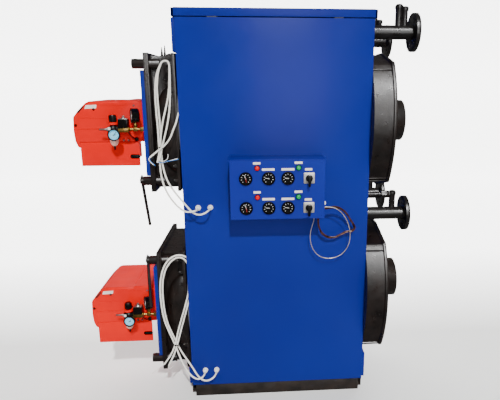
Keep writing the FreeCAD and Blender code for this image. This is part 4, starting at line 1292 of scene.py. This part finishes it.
def solenoid(deck):
    """Solenoid valve: brass body, black coil, plated yoke plate with its nut, and a plug behind."""
    body = deck + "_door"
    z = FRONT_AXIS[deck] - FITTING_DROP
    x, y = SOLENOID_X, FITTING_Y
    bm = bmesh.new()
    slab(bm, (x - 0.0225, y - 0.013, z - 0.012), (x + 0.0225, y + 0.013, z + 0.006))
    lathe(bm, Vector((x - 0.023, y, z - 0.002)), RIGHT, [(0.0, 0.0125), (0.008, 0.0125)], 6)
    lathe(bm, Vector((x + 0.015, y, z - 0.002)), RIGHT, [(0.0, 0.0125), (0.008, 0.0125)], 6)
    settle(rounded_edges(piece_from(deck + "_valve_body", bm, "brass"), 0.0014), body,
           (deck + "_solenoid_valve",))
    bm = bmesh.new()
    slab(bm, (x - 0.021, y - 0.018, z + 0.006), (x + 0.021, y + 0.018, z + 0.044))
    slab(bm, (x - 0.013, y + 0.018, z + 0.010), (x + 0.013, y + 0.036, z + 0.038))
    settle(rounded_edges(piece_from(deck + "_valve_coil", bm, "gloss black"), 0.0035, 3), body)
    bm = bmesh.new()
    slab(bm, (x - 0.019, y - 0.016, z + 0.044), (x + 0.019, y + 0.016, z + 0.0475))
    lathe(bm, Vector((x, y, z + 0.0475)), UP, [(0.0, 0.014), (0.002, 0.013), (0.007, 0.007),
                                             (0.008, 0.0)], 24)
    lathe(bm, Vector((x, y, z + 0.0545)), UP, [(0.0, 0.0062), (0.006, 0.0062)],
          6)
    settle(rounded_edges(piece_from(deck + "_coil_yoke", bm, "zinc"), 0.0006), body)


def manometer(deck):
    """Pressure gauge seen edge on: a black pressed case, its white dial turned to the burner's end."""
    body = deck + "_door"
    z = FRONT_AXIS[deck] - FITTING_DROP + 0.060
    centre = Vector((MANOMETER_X, FITTING_Y, z))
    facing = Vector((-math.cos(MANOMETER_TURN), -math.sin(MANOMETER_TURN), 0.0))
    bm = bmesh.new()
    lathe(bm, centre, facing, [(-0.017, 0.026), (-0.0145, 0.0305), (-0.010, 0.0322),
                             (0.010, 0.0322), (0.011, 0.0330), (0.0155, 0.0330), (0.017, 0.0315),
                             (0.017, 0.0285), (0.011, 0.0280)], 48)
    lathe(bm, centre - facing * 0.017, -facing, [(0.0, 0.003), (0.0008, 0.003)],
          12)
    settle(piece_from(deck + "_manometer_case", bm, "gloss black"), body,
           (deck + "_manometer",))
    marks = ({"Radius": 0.0235, "Count": 17, "Length": 0.0045, "Width": 0.0008, "Start": -0.79,
              "Sweep": 4.71}, "dial black")
    dial(deck + "_manometer_dial", centre + facing * 0.0112, facing, 0.0280, "dial white", marks,
         ((2.4, 0.019, "dial black"),), body)
    bm = bmesh.new()
    lathe(bm, centre + DOWN * 0.052, UP, [(0.0, 0.0065), (0.006, 0.0065), (0.006, 0.0085),
                                          (0.015, 0.0085), (0.015, 0.0055), (0.022, 0.0055)], 6)
    settle(rounded_edges(piece_from(deck + "_manometer_stem", bm, "brass"), 0.0005), body)


def air_line(deck):
    """Brass train: hose barb, nipples with hexagons, tee under the gauge and an elbow to the door."""
    body = deck + "_door"
    z = FRONT_AXIS[deck] - FITTING_DROP
    bm = bmesh.new()
    barb = Vector((REGULATOR_X - 0.062, FITTING_Y, z))
    profile = [(0.0, 0.0042)]
    for k in range(4):
        profile += [(0.001 + 0.006 * k, 0.0042), (0.006 + 0.006 * k, 0.0062), (0.0062 + 0.006 * k, 0.0042)]
    profile += [(0.030, 0.0042), (0.030, 0.0078), (0.042, 0.0078)]
    lathe(bm, barb, RIGHT, profile, 12)
    settle(piece_from(deck + "_hose_barb", bm, "zinc"), body, (deck + "_air_line",))
    bm = bmesh.new()
    lathe(bm, Vector((REGULATOR_X + 0.020, FITTING_Y, z)), RIGHT,
          [(0.0, 0.0062), (0.0005, 0.0062), (0.0030, 0.0062)], 6)
    x0 = SOLENOID_X + 0.023
    length = MANOMETER_X + 0.022 - x0
    lathe(bm, Vector((x0, FITTING_Y, z)), RIGHT, [(0.0, 0.0055), (0.004, 0.0055),
                                                 (0.004, 0.0085), (0.010, 0.0085), (0.010, 0.0055),
                                                 (length, 0.0055)], 12)
    slab(bm, (MANOMETER_X - 0.009, FITTING_Y - 0.0082, z - 0.0082),
         (MANOMETER_X + 0.009, FITTING_Y + 0.0082, z + 0.0082))
    slab(bm, (MANOMETER_X + 0.022, FITTING_Y - 0.0088, z - 0.0088),
         (MANOMETER_X + 0.040, FITTING_Y + 0.0088, z + 0.0088))
    lathe(bm, Vector((MANOMETER_X + 0.031, FITTING_Y, z)), FAR,
          [(0.0, 0.0065), (0.014, 0.0065), (0.014, 0.0100), (0.022, 0.0100),
           (0.022, 0.0065), (0.0495, 0.0065)], 12)
    settle(rounded_edges(piece_from(deck + "_brass_train", bm, "brass"), 0.0009), body)


# ------------------------------------------------------------ control box
def control_box():
    softened("control_box", "box", 0.0012)
    low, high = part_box("control_box")
    face = low.y
    bm = bmesh.new()
    slab(bm, (low.x - 0.003, face - 0.0015, high.z - 0.002), (high.x + 0.003, high.y, high.z + 0.0015))
    settle(rounded_edges(piece_from("box_top_lip", bm, "box"), 0.0007), "root")
    gauges(face)
    lamps(face)
    switches(face)
    labels(face)
    corners = [(Vector((x, face, z)), NEAR) for x in (low.x + 0.012, high.x - 0.012)
               for z in (low.z + 0.012, high.z - 0.014)]
    grow("box_screws", TREES["screw"], corners, {"Radius": 0.0028, "Height": 0.0015}, "box", "root")


def gauges(face):
    """Six panel thermometers: black bezels, black dials, white marks; the first of each row has
    a second, red pointer."""
    bm = bmesh.new()
    spots = [Vector((x, face, z)) for z in ROWS for x in GAUGE_COLUMNS]
    for spot in spots:
        lathe(bm, spot, NEAR, [(0.0, 0.0290), (0.0065, 0.0290), (0.0088, 0.0272),
                               (0.0088, 0.0250), (0.0050, 0.0238), (0.0030, 0.0238)], 48)
    settle(piece_from("gauge_bezels", bm, "gloss black"), "root", ("gauge_bodies",))
    marks = ({"Radius": 0.0185, "Count": 9, "Length": 0.0042, "Width": 0.0013, "Start": -0.85,
              "Sweep": 4.84}, "print white")
    for n, spot in enumerate(spots):
        pointers = ((3.0, 0.014, "print white"),)
        if n % 3 == 0:
            pointers = ((1.9, 0.017, "print white"), (-1.4, 0.016, "red pointer"))
        dial("panel_gauge_" + str(n), spot + NEAR * 0.0032, NEAR, 0.0238, "dial black", marks, pointers,
             "root", glass=False)


def lamps(face):
    """Signal lamps: a dark collar and a domed lens."""
    collars = bmesh.new()
    for node, x in LAMP_COLUMNS.items():
        bm = bmesh.new()
        for z, rise in zip(ROWS, LAMP_RISE):
            spot = Vector((x, face, z + rise))
            lathe(bm, spot, NEAR, [(0.0, 0.0098), (0.0070, 0.0098), (0.0100, 0.0080),
                                   (0.0116, 0.0048), (0.0120, 0.0)], 28)
            lathe(collars, spot, NEAR, [(0.0, 0.0099), (0.0, 0.0128), (0.0022, 0.0128), (0.0034, 0.0115),
                                        (0.0034, 0.0099), (0.0, 0.0099)], 28)
        tint = "red lens" if node == "red_lamps" else "green lens"
        settle(piece_from(node + "_lenses", bm, tint), "root", (node,))
    settle(piece_from("lamp_collars", collars, "black plastic"), "root")


def switches(face):
    """Cam switches: a satin plate with a raised frame, and a black handle that hangs below it."""
    plates = bmesh.new()
    frames = bmesh.new()
    for deck, z in zip(DECKS, ROWS):
        centre = Vector((SWITCH_COLUMN, face, z))
        shaped_plate(plates, rounded_rectangle(centre, RIGHT, UP, 0.048, 0.048, 0.004), NEAR * 0.004)
        shaped_plate(frames, rounded_rectangle(centre + NEAR * 0.0035, RIGHT, UP, 0.042, 0.042, 0.003),
                     NEAR * 0.0014)
        knob(deck, centre + NEAR * 0.0053)
    settle(rounded_edges(piece_from("switch_frames", plates, "plate"), 0.0008), "root",
           ("switch_plates",))
    settle(rounded_edges(piece_from("switch_cards", frames, "plate"), 0.0005), "root")


def knob(deck, centre):
    """A round black cam-switch knob with a deep handle whose tail points down."""
    bm = bmesh.new()
    lathe(bm, centre, NEAR, [(0.0, 0.0158), (0.005, 0.0155), (0.012, 0.0140),
                             (0.0138, 0.0120)], 32)
    outline = [(-0.0045, 0.0140), (0.0045, 0.0140), (0.0070, 0.004), (0.0058, -0.012), (0.0046, -0.034),
               (0.0, -0.0358), (-0.0046, -0.034), (-0.0058, -0.012), (-0.0070, 0.004)]
    shaped_plate(bm, [centre + NEAR * 0.002 + RIGHT * x + UP * z for x, z in outline], NEAR * 0.0195)
    settle(rounded_edges(piece_from(deck + "_cam_knob", bm, "black plastic"), 0.0018, 3),
           deck + "_knob", (deck + "_switch_knob",))


def labels(face):
    """Blank engraved plates over the lamps, gauges and switches."""
    bm = bmesh.new()
    rows = (((-0.091, 1.199, 0.033), (-0.042, 1.172, 0.057), (0.042, 1.172, 0.059),
             (0.088, 1.200, 0.036), (0.131, 1.171, 0.033)),
            ((-0.091, 1.073, 0.033), (-0.042, 1.042, 0.057), (0.042, 1.042, 0.059),
             (0.088, 1.073, 0.036), (0.131, 1.038, 0.033)))
    for row in rows:
        for x, z, width in row:
            corners = rounded_rectangle(Vector((x, face, z)), RIGHT, UP, width * 0.94, LABEL_HEIGHT,
                                        0.0015, 2)
            shaped_plate(bm, corners, NEAR * 0.0012)
    settle(piece_from("blank_labels", bm, "label"), "root")


FINISH = make_finishes()
TREES = {
    "bolt": hex_bolt_tree(),
    "screw": cross_screw_tree(),
    "marks": dial_mark_tree(),
    "tube end": tube_end_tree(),
    "ribs": rib_tree(),
    "weld": weld_tree(),
}

camera()
cables()
glands()
studio()
plain_finishes()
casing()
for each in DECKS:
    pressure_parts(each)
    door(each)
    burner(each)
    regulator(each)
    solenoid(each)
    manometer(each)
    air_line(each)
latches()
header_ears()
edge_nuts()
link_union()
control_box()
